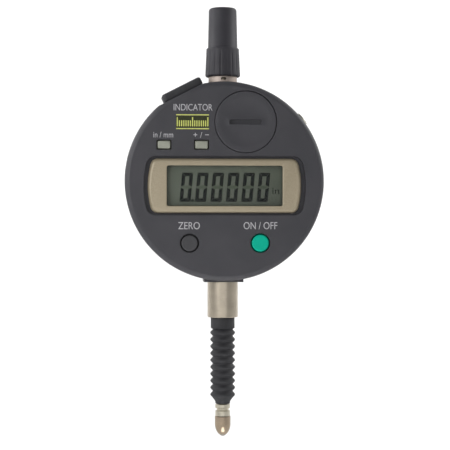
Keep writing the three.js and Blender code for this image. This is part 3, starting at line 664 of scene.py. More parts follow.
def build_front_case():
    """The case: a round cup with its face cut for the display, keys, battery lid and connector."""
    rim = CASE_RADIUS - CASE_DRAFT
    wide, deep = RIM_ROLL
    crown = deep * math.sin(math.radians(RIM_BREAK))
    outline = [(0, -RIM_DEPTH), (rim, -RIM_DEPTH)]
    outline += [(CASE_RADIUS - wide + wide * x, deep * y - crown) for x, y in arc(0, 0, 1, 0, RIM_BREAK, 10)]
    outline += [(0, 0)]
    body = turned("case_front", outline, FACE, 192)
    side = outwards(CONNECTOR_ANGLE)
    display = on_face("display_bezel")
    bezel = span("display_bezel")
    recess = bulged_outline(bezel.x / 2 + RECESS_SIDE_MARGIN, BEZEL_CORNER_INSET,
                            bezel.z + 2 * RECESS_END_MARGIN, BEZEL_CORNER_ROUND + 0.9)
    shaped = [plate("recess", recess, -RECESS_DEPTH, PAST, display), connector_flat_cut()]
    combine(body, shaped, "DIFFERENCE")
    soften(body, RECESS_EDGE, 3)
    inside = CASE_RADIUS - CASE_WALL
    combine(body, [post("cup", inside, -RIM_DEPTH - PAST, -FACE_WALL, FACE, 192)], "DIFFERENCE")

    combine(body, battery_bay() + bosses(), "UNION")
    cuts = [display_cut(display), *battery_bay_cuts(), *key_cuts()]
    socket_half, socket_deep = SOCKET_HOLE
    along = (CONNECTOR_ALONG - socket_half, CONNECTOR_ALONG + socket_half)
    across = (CONNECTOR_BACK - socket_deep, CONNECTOR_BACK + socket_deep)
    cuts.append(block("socket_hole", along, across, (SOCKET_HOLE_FLOOR, 40), side))
    radius, deep = PLUG_HOLE
    cuts.append(post("plug_hole", radius, CASE_RADIUS - deep, CASE_RADIUS + 2, plug_place()))
    combine(body, cuts + column_cuts(), "DIFFERENCE")
    soften(body)
    finish(body, ABS, "case", ["front_case"], CRISP)


def connector_flat_cut():
    return block("flat", (-30, 30), (-30, 30), (CONNECTOR_FLAT, 60), outwards(CONNECTOR_ANGLE))


def plug_place():
    return outwards(PLUG_ANGLE) @ Matrix.Translation((0, CONNECTOR_BACK, 0))


def battery_bay():
    """The walls behind the face that hold the battery and its cover."""
    lid = on_face("battery_cover")
    lid_back = heights("battery_cover")[1]
    pocket_floor = heights("battery_contact")[1] - CELL_AIR
    return [
        post("lid_wall", half_width("battery_cover") + BAY_WALL, -LID_SEAT_WALL, -FACE_SKIN, lid),
        post("skirt_wall", half_width("battery_cover_seal") + BAY_WALL, lid_back - BAY_WALL,
             -FACE_SKIN, lid),
        post("cell_wall", half_width("battery_cell") + BAY_WALL, pocket_floor - CELL_FLOOR_WALL,
             -FACE_SKIN, lid),
    ]


def battery_bay_cuts():
    lid = on_face("battery_cover")
    lid_back = heights("battery_cover")[1]
    pocket_floor = heights("battery_contact")[1] - CELL_AIR
    return [
        post("lid_hole", half_width("battery_cover") + LID_AIR, -LID_SEAT, PAST, lid, 160),
        post("skirt_hole", half_width("battery_cover_seal") + SKIRT_AIR, lid_back - SEAT_AIR, PAST, lid),
        post("cell_hole", half_width("battery_cell") + CELL_AIR, pocket_floor, PAST, lid),
    ]


def bosses():
    """The blocks inside the case's foot and top that hold the stem and the neck."""
    stem_radius = node_box("stem")[1].x
    neck_radius = node_box("neck")[1].x
    half = stem_radius + BOSS_WALL
    foot = STEM_BOSS_FLOOR - CASE_UP
    side = neck_radius + NECK_BOSS_WALL
    return [
        block("stem_boss", (-half, half), (foot, foot + STEM_BOSS_HEIGHT),
              (-AXIS_DEPTH - stem_radius, -AXIS_DEPTH + half)),
        block("neck_boss", (-side, side), (CASE_RADIUS - NECK_BOSS_HEIGHT, CASE_RADIUS - FACE_SKIN),
              (-AXIS_DEPTH - NECK_BOSS_FRONT, -AXIS_DEPTH + half)),
    ]


def display_cut(display):
    pane = span("display_window")
    opening = rounded_outline(pane.x + OPENING_AIR, pane.z + OPENING_AIR, 1.2)
    return plate("opening", opening, -FACE_WALL - PAST, 0, display)


def key_cuts():
    cuts = []
    for name, radius in ROUND_KEYS:
        cuts.append(post("key_hole", radius + ROUND_KEY_MARGIN, -FACE_WALL - PAST, PAST, on_face(name)))
    for name in SMALL_KEYS:
        hole = rounded_outline(*(side + 2 * SMALL_KEY_MARGIN for side in SMALL_KEY), 0.45)
        cuts.append(plate("key_hole", hole, -FACE_WALL - PAST, PAST, on_face(name)))
    return cuts


def column_cuts():
    """The bores for the stem and the neck, and the spindle's way between them."""
    stem_low, stem_high = node_box("stem")
    neck_low, neck_high = node_box("neck")
    return [
        post("stem_hole", stem_high.x + BORE_AIR, STEM_BOSS_FLOOR - PAST, stem_high.z + SEAT_AIR, UPRIGHT),
        post("neck_hole", neck_high.x + BORE_AIR, neck_low.z - SEAT_AIR, CASE_UP + 40, UPRIGHT),
        post("spindle_way", SPINDLE_WAY, STEM_BOSS_FLOOR, neck_high.z, UPRIGHT, 64),
    ]


def build_rear_cover():
    """The flat rear cover, with a counterbore over each screw."""
    outline = [(0, -BACK_DEPTH), (COVER_RADIUS - COVER_EDGE, -BACK_DEPTH),
               (COVER_RADIUS, -BACK_DEPTH + COVER_EDGE), (COVER_RADIUS, -COVER_FRONT_DEPTH),
               (0, -COVER_FRONT_DEPTH)]
    cover = turned("case_rear", outline, FACE, 192)
    cuts = [connector_flat_cut()]
    radius, depth = COUNTERBORE
    for name in REAR_SCREWS:
        cuts.append(post("counterbore", radius, -BACK_DEPTH - PAST, -BACK_DEPTH + depth, on_face(name), 48))
    combine(cover, cuts, "DIFFERENCE")
    soften(cover, 0.15)
    finish(cover, ABS, "case", ["rear_cover"], CRISP)


def cross_screw(name, place):
    """A pan-head screw seen from its head, local Z out of the head."""
    head_radius, head = SCREW_HEAD
    shank_radius, length = SCREW_SHANK
    edge = 0.35
    outline = [(0, -length), (shank_radius, -length), (shank_radius, -head), (head_radius, -head)]
    outline += [*arc(head_radius - edge, -edge, edge, 0, 90, 5), (0, 0.06)]
    screw = turned(f"{name}_fine", outline, place, 64)
    reach, half, deep = CROSS
    slots = [block("slot", (-reach, reach), (-half, half), (-deep, PAST), place),
             block("slot", (-half, half), (-reach, reach), (-deep, PAST), place)]
    combine(screw, slots, "DIFFERENCE")
    soften(screw, 0.05)
    finish(screw, BRIGHT_STEEL, "case", [name])


def build_fasteners():
    """The four screws of the rear cover, and the slotted plug in the case's shoulder."""
    sunk = Matrix.Translation((0, 0, -BACK_DEPTH + SCREW_SUNK))
    back = FACE @ sunk @ Matrix.Rotation(math.pi, 4, "X")
    for name in REAR_SCREWS:
        spot = middle(name)
        cross_screw(name, back @ Matrix.Translation((spot.x, -(spot.z - CASE_UP), 0)))

    place = plug_place()
    top = CASE_RADIUS + PLUG_PROUD
    foot = CASE_RADIUS - PLUG_LENGTH
    edge = 0.2
    outline = [(0, foot), (PLUG_RADIUS, foot)]
    outline += [*arc(PLUG_RADIUS - edge, top - edge, edge, 0, 90, 4), (0, top)]
    plug = turned("side_plug_fine", outline, place, 96)
    half, deep = PLUG_SLOT
    combine(plug, [block("slot", (-3, 3), (-half, half), (top - deep, top + PAST), place)], "DIFFERENCE")
    soften(plug, 0.06)
    finish(plug, BRIGHT_STEEL, "case", ["side_plug"])


# ---- display ----


def build_bezel():
    """The bezel's frame, rolled over at its outer edge, with a pocket behind for the window."""
    size = span("display_bezel")
    place = on_face("display_bezel")
    wide, deep = BEZEL_ROLL
    crown = math.sin(math.radians(BEZEL_ROLL_END))
    steps = 8
    layers = []
    for step in range(steps + 1):
        angle = math.radians(BEZEL_ROLL_END * step / steps)
        inset = wide * (1 - math.cos(angle))
        outline = bulged_outline(size.x / 2 - inset, BEZEL_CORNER_INSET, size.z - 2 * inset,
                                 BEZEL_CORNER_ROUND - inset / 2)
        layers.append((outline, deep * (math.sin(angle) - crown)))
    bezel = stacked("bezel_plate", layers, place)
    pane = span("display_window")
    pocket = rounded_outline(pane.x + 0.3, pane.z + 0.3, 1)
    opening = rounded_outline(OPENING_WIDTH, OPENING_HEIGHT, OPENING_ROUND)
    cuts = [plate("pocket", pocket, -deep - PAST, heights("display_window")[0] + 0.08, place),
            plate("opening", opening, -deep - PAST, PAST, place)]
    combine(bezel, cuts, "DIFFERENCE")
    soften(bezel, BEZEL_INNER_EDGE)
    finish(bezel, LACQUER, "case", ["display_bezel"], 15)


def build_window():
    size = span("display_window")
    front = heights("display_window")[0]
    outline = rounded_outline(size.x, size.z, 1)
    pane = plate("window_pane", outline, front - size.y, front, on_face("display_window"))
    soften(pane, 0.08)
    finish(pane, ACRYLIC, "case", ["display_window"])


def digit_bars():
    """The six outer bars of a nought, then its middle bar, as outlines from the digit's foot."""
    wide, tall, stroke, gap = DIGIT_WIDTH, DIGIT_HEIGHT, DIGIT_STROKE, DIGIT_GAP
    mid = tall / 2
    shoulder = tall - stroke
    level = [(stroke, shoulder), (wide - stroke, shoulder), (wide - gap / 2, tall), (gap / 2, tall)]
    upright = [(0, mid + gap), (stroke, mid + stroke / 2 + gap), (stroke, shoulder - gap / 2),
               (0, tall - gap / 2)]

    def across(outline):
        return [(wide - x, y) for x, y in reversed(outline)]

    def below(outline):
        return [(x, tall - y) for x, y in reversed(outline)]

    bars = [level, below(level), upright, below(upright), across(upright), across(below(upright))]
    start, stop, half = gap, wide - gap, stroke / 2
    middle_bar = [(start, mid), (start + half, mid - half), (stop - half, mid - half), (stop, mid),
                  (stop - half, mid + half), (start + half, mid + half)]
    return bars, middle_bar


def slanted(outline, left):
    """A digit's outline put in its place in the row, leaning to the right."""
    return [(left + x + DIGIT_SLANT * y, DIGITS_FOOT + y) for x, y in outline]


def joined(name, pieces):
    """One piece out of several, which are used up."""
    work = bmesh.new()
    for piece in pieces:
        work.from_mesh(piece.data)
        used = piece.data
        bpy.data.objects.remove(piece)
        bpy.data.meshes.remove(used)
    return from_bmesh(name, work, Matrix.Identity(4))


def build_lcd():
    """The liquid crystal panel, its six noughts and point, and the faint bars that are off."""
    size = span("lcd_panel")
    front = heights("lcd_panel")[0]
    place = on_face("lcd_panel")
    panel = plate("lcd_glass", rounded_outline(size.x, size.z, 0.4), front - size.y, front, place)
    soften(panel, 0.1)
    finish(panel, POLARISER, "case", ["lcd_panel"])

    bars, middle_bar = digit_bars()
    dark, faint = [], []
    for count in range(DIGIT_COUNT):
        left = DIGITS_LEFT + count * DIGIT_PITCH
        for bar in bars:
            dark.append(plate("bar", slanted(bar, left), front + INK, front + 2 * INK, place))
        faint.append(plate("bar", slanted(middle_bar, left), front + INK / 4, front + INK / 2, place))
    point = [(0, 0), (POINT, 0), (POINT, POINT), (0, POINT)]
    point_left = DIGITS_LEFT + DIGIT_WIDTH + POINT_GAP
    dark.append(plate("point", slanted(point, point_left), front + INK, front + 2 * INK, place))
    finish(joined("lcd_digits", dark), SEGMENT_INK, "case")
    finish(joined("lcd_faint_bars", faint), GHOST_INK, "case")
    legend("lcd_unit", "in", (15.75, -1.5), (2.1, 1.8), SEGMENT_INK, place, front + INK)


def legend(name, words, centre, size, ink=GREY_INK, place=FACE, level=0.0):
    """Printed letters, stretched to a width and a capital height and laid on a surface."""
    letters = bpy.data.curves.new(name, "FONT")
    letters.body = words
    letters.resolution_u = 6
    writing = bpy.data.objects.new(name, letters)
    bpy.context.scene.collection.objects.link(writing)
    bpy.context.view_layer.update()
    graph = bpy.context.evaluated_depsgraph_get()
    flat = bpy.data.meshes.new_from_object(writing.evaluated_get(graph))
    bpy.data.objects.remove(writing)
    work = bmesh.new()
    work.from_mesh(flat)
    bpy.data.meshes.remove(flat)
    xs = [v.co.x for v in work.verts]
    ys = [v.co.y for v in work.verts]
    width, height = size
    fit = Matrix.Diagonal((width / (max(xs) - min(xs)), height / (max(ys) - min(ys)), 1, 1))
    to_middle = Matrix.Translation((-(max(xs) + min(xs)) / 2, -(max(ys) + min(ys)) / 2, 0))
    shift = Matrix.Translation((*centre, level))
    grown = bmesh.ops.extrude_face_region(work, geom=work.faces[:])
    raised = [v for v in grown["geom"] if isinstance(v, bmesh.types.BMVert)]
    bmesh.ops.translate(work, vec=(0, 0, 1), verts=raised)
    thin = Matrix.Diagonal((1, 1, INK, 1))
    bmesh.ops.recalc_face_normals(work, faces=work.faces)
    piece = from_bmesh(name, work, place @ shift @ thin @ fit @ to_middle)
    finish(piece, ink, "case")


def build_print():
    """The legends by the keys, and a plain scale mark above them."""
    legend("legend_indicator", "INDICATOR", (-9.7, 22.4), (11.8, 2.0))
    legend("legend_units", "in / mm", (-18.77, 14.05), (6.0, 1.75))
    legend("legend_sign", "+ / −", (-7.25, 14.0), (4.7, 1.75))
    legend("legend_zero", "ZERO", (-10.94, -13.6), (6.6, 2.2))
    legend("legend_power", "ON / OFF", (10.86, -13.6), (10.3, 2.2))

    mid_x, mid_y = MARK_MIDDLE
    width, height = MARK_SIZE
    sides = (mid_x - width / 2, mid_x + width / 2)
    rows = []
    for level in (height / 2, -height / 2):
        line = (mid_y + level - MARK_LINE, mid_y + level + MARK_LINE)
        rows.append(block("line", sides, line, (INK, 2 * INK)))
    margin = 0.35
    foot = mid_y - MARK_FOOT
    for tick in range(MARK_TICKS):
        x = mid_x - width / 2 + margin + tick * (width - 2 * margin) / (MARK_TICKS - 1)
        reach = 2.8 if tick % 7 == 0 else 1.8
        tick_sides = (x - MARK_TICK_HALF, x + MARK_TICK_HALF)
        rows.append(block("tick", tick_sides, (foot, foot + reach), (INK, 2 * INK)))
    finish(joined("scale_mark", rows), YELLOW_INK, "case")
    field = block("scale_mark_field", sides, (mid_y - MARK_FIELD, mid_y + MARK_FIELD), (0, INK / 2))
    finish(field, OLIVE_INK, "case")


# ---- keys ----


def build_keys():
    for name, radius in ROUND_KEYS:
        front, back = heights(name)
        flange = half_width(name)
        outline = [(0, back), (flange, back), (flange, back + KEY_FLANGE), (radius, back + KEY_FLANGE)]
        outline += arc(radius - KEY_EDGE, front - KEY_EDGE, KEY_EDGE, 0, 90, 5)
        outline += [(radius * 0.55, front - 0.03), (0, front - 0.06)]
        key = turned(f"{name}_fine", outline, on_face(name), 96)
        green = name == "button_on_off"
        finish(key, GREEN_KEY if green else DARK_KEY, name, [name])
    for name in SMALL_KEYS:
        front, back = heights(name)
        size = span(name)
        place = on_face(name)
        key = plate(f"{name}_fine", rounded_outline(*SMALL_KEY, 0.3), back + KEY_FLANGE / 2, front, place)
        soften(key, 0.2, 3)
        flange = plate("flange", rounded_outline(size.x, size.z, 0.4), back, back + KEY_FLANGE, place)
        combine(key, [flange], "UNION")
        finish(key, GREY_KEY, name, [name])


# ---- battery ----


def build_battery():
    build_battery_lid()

    seal_low, seal_high = node_box("battery_cover_seal")
    thick = (seal_high.y - seal_low.y) / 2
    along = FACE_Y - (seal_low.y + seal_high.y) / 2
    section = arc(half_width("battery_cover_seal") - thick, along, thick, -180, 180, 12)[:-1]
    ring = turned("battery_lid_ring", section, on_face("battery_cover"), 128)
    finish(ring, RUBBER, "battery_cover_seal", ["battery_cover_seal"], 60)

    front, back = heights("battery_cell")
    radius = half_width("battery_cell")
    step_in, step_up = CELL_STEP
    edge = CELL_EDGE
    outline = [(0, back), (radius - step_in, back), (radius - step_in, back + step_up)]
    outline += arc(radius - edge, back + 0.9, edge, -90, 0, 4)
    outline += arc(radius - edge, front - edge, edge, 0, 90, 4)
    outline += [(0, front)]
    place = on_face("battery_cell")
    cell = turned("battery_cell_fine", outline, place, 128)
    arm, half, deep = CELL_MARK
    marks = [block("mark", (-arm, arm), (-half, half), (front - deep, front + PAST), place),
             block("mark", (-half, half), (-arm, arm), (front - deep, front + PAST), place)]
    combine(cell, marks, "DIFFERENCE")
    finish(cell, BRIGHT_STEEL, "case", ["battery_cell"])


def build_battery_lid():
    """The round cover: a slightly dished top with a lipped coin slot, over a grooved skirt."""
    radius = half_width("battery_cover")
    back = heights("battery_cover")[1]
    place = on_face("battery_cover")
    skirt = half_width("battery_cover_seal")
    hollow = half_width("battery_cell") + CELL_AIR
    groove = skirt - LID_GROOVE
    outline = [(0, -LID_RIM), (hollow, -LID_RIM), (hollow, back), (skirt, back), (skirt, -LID_GROOVE_END),
               (groove, -LID_GROOVE_END), (groove, -LID_RIM), (radius, -LID_RIM)]
    outline += arc(radius - LID_EDGE, -LID_EDGE, LID_EDGE, 0, 90, 5)
    floor = -LID_DISH_DEPTH
    outline += [(LID_DISH_RADIUS, 0), (LID_DISH_RADIUS - 0.3, floor), (0, floor)]
    lid = turned("battery_lid", outline, place, 160)
    wide, tall = LID_SLOT
    lip = rounded_outline(wide + 2 * LID_LIP, tall + 2 * LID_LIP, 0.6)
    combine(lid, [plate("lip", lip, floor - 0.5, 0, place)], "UNION")
    slot = rounded_outline(wide, tall, 0.5)
    combine(lid, [plate("slot", slot, floor - LID_SLOT_DEPTH, PAST, place)], "DIFFERENCE")
    soften(lid, 0.22, 3, 50)
    finish(lid, ABS, "battery_cover", ["battery_cover"], 25)


# ---- connector ----


def build_connector():
    """The rubber cover on the output connector's flat, and the socket under it."""
    place = outwards(CONNECTOR_ANGLE) @ Matrix.Translation((CONNECTOR_ALONG, CONNECTOR_BACK, 0))
    flat = CONNECTOR_FLAT
    foot = flat + CONNECTOR_CAP_AIR
    shifted = place @ Matrix.Translation((CONNECTOR_CAP_SHIFT, 0, 0))
    outline = rounded_outline(*CONNECTOR_CAP, 1.4)
    cover = plate("connector_cap", outline, foot, foot + CONNECTOR_CAP_THICKNESS, shifted)
    soften(cover, 0.75, 5)
    half_long, half_wide, reach = TONGUE
    tongue = block("tongue", (-half_long, half_long), (-half_wide, half_wide),
                   (flat - reach, flat + 0.6), place)
    combine(cover, [tongue], "UNION")
    finish(cover, COVER_RUBBER, "connector_cover", ["connector_cover"])

    shell = plate("output_shell", rounded_outline(*SOCKET_SHELL, 0.5), flat - 8.4, flat - 0.6, place)
    cavity = plate("cavity", rounded_outline(*SOCKET_CAVITY, 0.3), flat - 7.2, flat + PAST, place)
    combine(shell, [cavity], "DIFFERENCE")
    soften(shell)
    finish(shell, CAP_ABS, "case", ["output_socket"])


# ---- column: neck, cap, stem, boot, spindle, contact ----


def build_neck():
    low, high = node_box("neck")
    radius = high.x
    bore = radius - NECK_WALL
    edge = NECK_EDGE
    outline = [(bore, low.z), (radius, low.z), (radius, high.z - edge), (radius - edge, high.z),
               (bore, high.z)]
    neck = turned("neck_sleeve", outline, UPRIGHT, 128)
    vent = Matrix.Translation((0, 0, (CASE_UP + CASE_RADIUS + VENT_RISE) * MM))
    vent = vent @ Matrix.Rotation(math.radians(90), 4, "X") @ Matrix.Scale(MM, 4)
    combine(neck, [plate("vent", rounded_outline(*VENT, 0.4), 0, 9, vent)], "DIFFERENCE")
    finish(neck, NECK_STEEL, "case", ["neck"])

    low, high = node_box("upper_bush")
    edge = BUSH_EDGE
    outline = [(BUSH_BORE, low.z), (high.x, low.z), (high.x, high.z - edge), (high.x - edge, high.z),
               (BUSH_BORE + edge, high.z), (BUSH_BORE, high.z - edge)]
    finish(turned("upper_bush_fine", outline, UPRIGHT, 96), BRASS, "case", ["upper_bush"])


def build_cap():
    """The two-step cap: a fluted skirt that flares downwards under a plain, slightly tapered barrel."""
    low, high = node_box("top_cap")
    skirt_foot, skirt_head = high.x, high.x - SKIRT_TAPER
    skirt_top = low.z + SKIRT_HEIGHT
    barrel_foot, barrel_head = BARREL
    neck_high = node_box("neck")[1]
    ceiling = neck_high.z + SEAT_AIR
    bore = neck_high.x + CAP_NECK_AIR
    outline = [(CAP_BORE, ceiling), (bore, ceiling), (bore, low.z + 0.3), (bore + 0.2, low.z)]
    outline += [(skirt_foot - 0.55, low.z)]
    foot = arc(skirt_foot - 0.6, low.z + 0.6, 0.6, -70, 0, 6)
    outline += [(x, y, FLUTE_DEPTH * 0.6) for x, y in foot]
    for row in range(1, SKIRT_ROWS):
        share = row / SKIRT_ROWS
        height = low.z + 0.6 + (SKIRT_HEIGHT - 1.5) * share
        depth = FLUTE_DEPTH * min(1.0, (1 - share) * 6)
        outline.append((skirt_foot + (skirt_head - skirt_foot) * share, height, depth))
    outline += arc(skirt_head - 0.45, skirt_top - 0.45, 0.45, 0, 80, 6)
    outline += [(barrel_foot + 0.08, skirt_top), (barrel_foot, skirt_top + 0.15)]
    outline += arc(barrel_head - BARREL_ROUND, high.z - BARREL_ROUND, BARREL_ROUND, 3, 90, 8)
    outline += [(0, high.z), (0, high.z - CAP_END_WALL), (CAP_BORE, high.z - CAP_END_WALL)]
    cap = turned("cap_shell", outline, UPRIGHT, 240)
    finish(cap, CAP_ABS, "top_cap", ["top_cap"], 40)


def build_stem():
    low, high = node_box("stem")
    radius, edge = high.x, STEM_EDGE
    outline = [(STEM_BORE, low.z), (radius - edge, low.z), (radius, low.z + edge), (radius, high.z),
               (STEM_BORE, high.z)]
    finish(turned("stem_sleeve", outline, UPRIGHT, 160), STEEL, "case", ["stem"])


def build_boot():
    """The bellows: a collar held on the stem, and the folds below it, both hung on the case."""
    low, high = node_box("rubber_boot")
    crest = high.x
    valley = crest - BOOT_FOLD_DEPTH
    collar_radius = BOOT_COLLAR_RADIUS
    collar_foot = high.z - BOOT_NECK_LENGTH
    inside = collar_radius - BOOT_WALL
    collar_top = node_box("stem")[0].z - BOOT_COLLAR_AIR
    outline = [(inside, collar_foot), (collar_radius, collar_foot)]
    outline += [*arc(collar_radius - 0.2, collar_top - 0.2, 0.2, 0, 90, 4), (inside, collar_top)]
    finish(turned("boot_collar", outline, UPRIGHT, 96), RUBBER, "case", ["rubber_boot"])

    folds_top = collar_foot - BOOT_LEAD
    folds_foot = low.z + BOOT_TAPER_LENGTH
    pitch = (folds_top - folds_foot) / BOOT_FOLDS
    lip = BOOT_LIP_RADIUS
    outside = arc(lip - 0.15, low.z + 0.15, 0.15, -90, 0, 3)
    outside += [(lip, low.z + 0.55), (lip + 0.12, low.z + 0.8), (valley - 0.15, folds_foot - 0.15)]
    rows = BOOT_FOLD_ROWS
    for row in range(BOOT_FOLDS * rows + 1):
        swell = math.sin(math.pi * (row % rows) / rows) ** 1.5
        outside.append((valley + (crest - valley) * swell, folds_foot + pitch * row / rows))
    outside += [(valley + 0.1, folds_top + 0.12), (collar_radius, collar_foot)]
    within = [(radius - BOOT_WALL, height) for radius, height in reversed(outside)]
    folds = turned("boot_folds", outside + within, UPRIGHT, 96)
    finish(folds, RUBBER, "case", ["rubber_boot"], 60)
    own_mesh(folds)


def build_spindle():
    low, high = node_box("spindle")
    radius, edge = high.x, SPINDLE_EDGE
    thinner, end_length = SPINDLE_END
    bore, bore_depth = SOCKET_BORE
    end = radius - thinner
    shoulder = low.z + end_length
    bore_top = low.z + bore_depth
    outline = [(bore, low.z), (end, low.z), (end, shoulder), (radius, shoulder + 0.1),
               (radius, high.z - edge), (radius - edge, high.z), (0, high.z), (0, bore_top),
               (bore, bore_top)]
    finish(turned("spindle_rod", outline, UPRIGHT, 96), STEEL, "spindle", ["spindle"])


def build_contact():
    """The contact point: a grooved collar, then a bullet-shaped body that holds the carbide ball."""
    low, high = node_box("contact_point")
    ball_low, ball_high = node_box("contact_ball")
    ball_radius = ball_high.x
    body_radius = high.x
    collar = body_radius - POINT_COLLAR_STEP
    top = node_box("spindle")[0].z - POINT_AIR
    below_top, groove_width, groove_floor = POINT_GROOVE
    groove = top - below_top
    groove_foot = groove - groove_width
    foot = top - POINT_COLLAR_LENGTH
    edge = POINT_COLLAR_EDGE
    outline = [(2.0, foot + 0.02), (collar - edge, foot + 0.02), (collar, foot + 0.15)]
    outline += [(collar, groove_foot - edge), (collar - edge, groove_foot)]
    outline += [(groove_floor, groove_foot + 0.15), (groove_floor, groove - 0.15)]
    outline += [(collar - edge, groove), (collar, groove + edge), (collar, top - 0.2), (collar - 0.2, top)]
    outline += [(POINT_STUD, top), (POINT_STUD, high.z), (0, high.z), (0, foot + 0.02)]
    ring = turned("contact_collar", outline, UPRIGHT, 128)
    finish(ring, COLLAR_STEEL, "spindle", ["contact_point"])

    mouth, seat = ball_radius - 0.13, ball_radius + 0.01
    seat_top = ball_high.z + 0.1
    outline = [(mouth, low.z)]
    steps = 18
    first = math.acos(1 - (low.z - ball_low.z) / POINT_NOSE)
    for step in range(steps + 1):
        angle = first + (math.pi / 2 - first) * step / steps
        height = ball_low.z + POINT_NOSE * (1 - math.cos(angle))
        outline.append((body_radius * math.sin(angle) ** 1.15, height))
    outline += [(body_radius, foot - 0.12), (body_radius - 0.12, foot), (0, foot)]
    outline += [(0, seat_top), (seat, seat_top), (seat, low.z + 0.35)]
    body = turned("contact_body", outline, UPRIGHT, 128)
    finish(body, TIP_STEEL, "spindle", ["contact_point"])

    ball_middle = (ball_low.z + ball_high.z) / 2
    outline = [(max(0.0, x), y) for x, y in arc(0, ball_middle, ball_radius, -90, 90, 24)]
    outline[0] = (0, ball_low.z)
    outline[-1] = (0, ball_high.z)
    finish(turned("tip_ball", outline, UPRIGHT, 64), CARBIDE, "spindle", ["contact_ball"], 60)


def build_spring():
    """The measuring spring, hooked between its post on the case and the carrier's arm."""
    low, high = node_box("measuring_spring")
    middle_x = (low.x + high.x) / 2
    wire = SPRING_WIRE
    coil_radius = (high.x - low.x) / 2 - wire
    per_turn, sides = 36, 10
    steps = SPRING_TURNS * per_turn
    work = bmesh.new()
    rings = []
    for step in range(steps + 1):
        angle = math.tau * step / per_turn
        height = low.z + wire + (high.z - low.z - 2 * wire) * step / steps
        out = Vector((math.cos(angle), math.sin(angle), 0))
        centre = Vector((middle_x, 0, height)) + out * coil_radius
        ring = []
        for side in range(sides):
            around = math.tau * side / sides
            offset = out * math.cos(around) + Vector((0, 0, math.sin(around)))
            ring.append(work.verts.new(centre + wire * offset))
        rings.append(ring)
    for first, second in zip(rings, rings[1:]):
        for side in range(sides):
            after = (side + 1) % sides
            work.faces.new((first[side], second[side], second[after], first[after]))
    work.faces.new(rings[0])
    work.faces.new(reversed(rings[-1]))
    bmesh.ops.recalc_face_normals(work, faces=work.faces)
    spring = from_bmesh("spring_coil", work, UPRIGHT)
    spring.data.shade_smooth()
    spring.data.materials.append(BRIGHT_STEEL)
    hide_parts("measuring_spring")
    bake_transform(spring)


def paint_inner_nodes():
    """Gives the frame's own inner pieces their finishes."""
    finishes = {
        RUBBER: ["case_seal"],
        BRASS: ["lower_bush", "battery_contact", "socket_contacts"],
        NYLON: ["lcd_frame", "scale_carrier"],
        SILICONE: ["elastomer_upper", "elastomer_lower", "key_mat_upper", "key_mat_lower"],
        BOARD: ["main_board", "detector_board"],
        BRIGHT_STEEL: ["board_screw_1", "board_screw_2", "board_screw_3", "crystal"],
        DARK_KEY: ["processor_chip"],
        STEEL: ["guide_rod", "spring_post"],
        SCALE_GLASS: ["scale_strip"],
    }
    for material, names in finishes.items():
        for name in names:
            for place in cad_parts[name].material_slots:
                place.material = material


# ---- studio ----


def build_sweep():
    """A white floor that curves up into a wall behind."""
    floor_z, back_y, bend, top_z, half, front_y = -0.08, 0.45, 0.3, 1.6, 1.6, -1.6
    profile = [(front_y, floor_z), (back_y, floor_z)]
    profile += arc(back_y, floor_z + bend, bend, -90, 0, 16)[1:]
    profile += [(back_y + bend, top_z)]
    work = bmesh.new()
    edges = [[work.verts.new((x, y, z)) for y, z in profile] for x in (-half, half)]
    for step in range(len(profile) - 1):
        work.faces.new((edges[0][step], edges[1][step], edges[1][step + 1], edges[0][step + 1]))
    sweep = from_bmesh("studio_sweep", work, Matrix.Identity(4))
    sweep.data.shade_smooth()
    material, tree, shader = new_material("pale_paper", Roughness=0.9)
    tint(tree, shader, grain(tree, 120), "#f4f4f4", "#fafafa")
    sweep.data.materials.append(material)


def build_lights():
    """A soft light from the upper left, weaker ones from below, and two for the wall."""
    aim = Vector((0, 0, CASE_UP * MM))
    wall = Vector((0, 0.75, 0.02))
    under = Vector((0, -0.05, 0))
    # Name, place, what it is turned to, width and height, all in metres, then watts.
    lights = [
        ("key", (-0.24, -0.24, 0.12), aim, (0.2, 0.2), 0.55),
        ("low", (-0.04, -0.3, -0.077), aim, (0.4, 0.25), 0.2),
        ("table", (0, -0.045, -0.075), under, (0.03, 0.06), 0.02),
        ("wall_left", (-0.7, 0.15, 0.45), wall, (0.5, 0.5), 4.6),
        ("wall_right", (0.7, 0.15, 0.45), wall, (0.5, 0.5), 4.6),
    ]
    for name, spot, target, size, power in lights:
        lamp = bpy.data.lights.new(name, "AREA")
        lamp.shape = "RECTANGLE"
        lamp.size, lamp.size_y = size
        lamp.energy = power
        stand = bpy.data.objects.new(name, lamp)
        stand.location = spot
        stand.rotation_euler = (target - Vector(spot)).to_track_quat("-Z", "Y").to_euler()
        bpy.context.scene.collection.objects.link(stand)


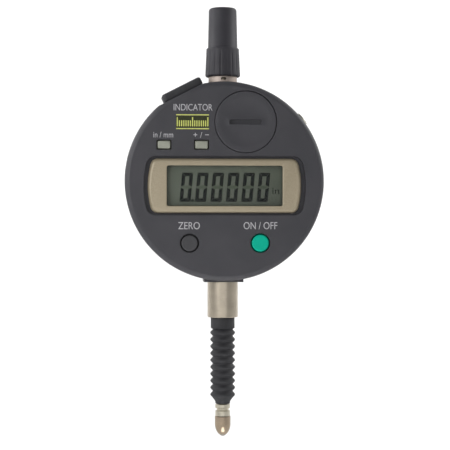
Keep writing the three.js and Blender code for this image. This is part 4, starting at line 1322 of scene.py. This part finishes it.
def build_room():
    """A pale room, darker in front of the indicator and overhead than around it."""
    world = bpy.data.worlds.new("studio")
    world.use_nodes = True
    tree = world.node_tree
    generated = add_node(tree, "ShaderNodeTexCoord").outputs["Generated"]
    toward = add_node(tree, "ShaderNodeSeparateXYZ", {0: generated})
    forward = add_node(tree, "ShaderNodeMath", {0: toward.outputs["Y"], 1: -1.0}, operation="MULTIPLY")
    angles = {0: toward.outputs["X"], 1: forward.outputs[0]}
    bearing = add_node(tree, "ShaderNodeMath", angles, operation="ARCTAN2")
    turn = {"Value": bearing.outputs[0], "From Min": -math.pi, "From Max": math.pi}
    share = add_node(tree, "ShaderNodeMapRange", turn)
    level = add_node(tree, "ShaderNodeValToRGB", {"Fac": share.outputs[0]})
    ramp = level.color_ramp
    ramp.interpolation = "EASE"
    # Brightness of the room by bearing in degrees: nought is behind the camera, positive to the right.
    room = [(-180, 0.9), (-125, 0.95), (-85, 0.5), (-45, 0.22), (-20, 0.46), (12, 0.6), (40, 0.48),
            (70, 0.66), (110, 0.78), (150, 0.6), (180, 0.9)]
    for angle, bright in room[1:-1]:
        ramp.elements.new(angle / 360 + 0.5)
    for stop, (angle, bright) in zip(ramp.elements, room):
        stop.color = (bright, bright, bright, 1)
    height = {"Value": toward.outputs["Z"], "From Min": 0.1, "From Max": 0.9, "To Min": 1.0, "To Max": 0.55}
    overhead = add_node(tree, "ShaderNodeMapRange", height)
    factors = {0: level.outputs[0], 1: overhead.outputs[0]}
    dimmed = add_node(tree, "ShaderNodeMath", factors, operation="MULTIPLY")
    background = tree.nodes["Background"]
    background.inputs["Color"].default_value = rgb("#ffffff")
    tree.links.new(dimmed.outputs[0], background.inputs["Strength"])
    bpy.context.scene.world = world
    bpy.context.scene.view_settings.view_transform = "Standard"


def build_camera():
    """A long lens level with the lower half of the case, a little to the left of straight on."""
    distance, azimuth, seen_width = 450.0, -3.6, 140.535
    aim = Vector((0.73, 0, CASE_UP - 13.4))
    turn = math.radians(azimuth)
    eye = aim + distance * Vector((math.sin(turn), -math.cos(turn), 0))
    lens = bpy.data.cameras.new("camera")
    lens.sensor_width = 36
    lens.lens = lens.sensor_width * distance / seen_width
    camera = bpy.data.objects.new("camera", lens)
    camera.location = eye * MM
    camera.rotation_euler = (aim - eye).to_track_quat("-Z", "Y").to_euler()
    bpy.context.scene.collection.objects.link(camera)
    bpy.context.scene.camera = camera


build_front_case()
build_rear_cover()
build_fasteners()
build_bezel()
build_window()
build_lcd()
build_print()
build_keys()
build_battery()
build_connector()
build_neck()
build_cap()
build_stem()
build_boot()
build_spindle()
build_contact()
build_spring()
paint_inner_nodes()
build_sweep()
build_lights()
build_room()
build_camera()
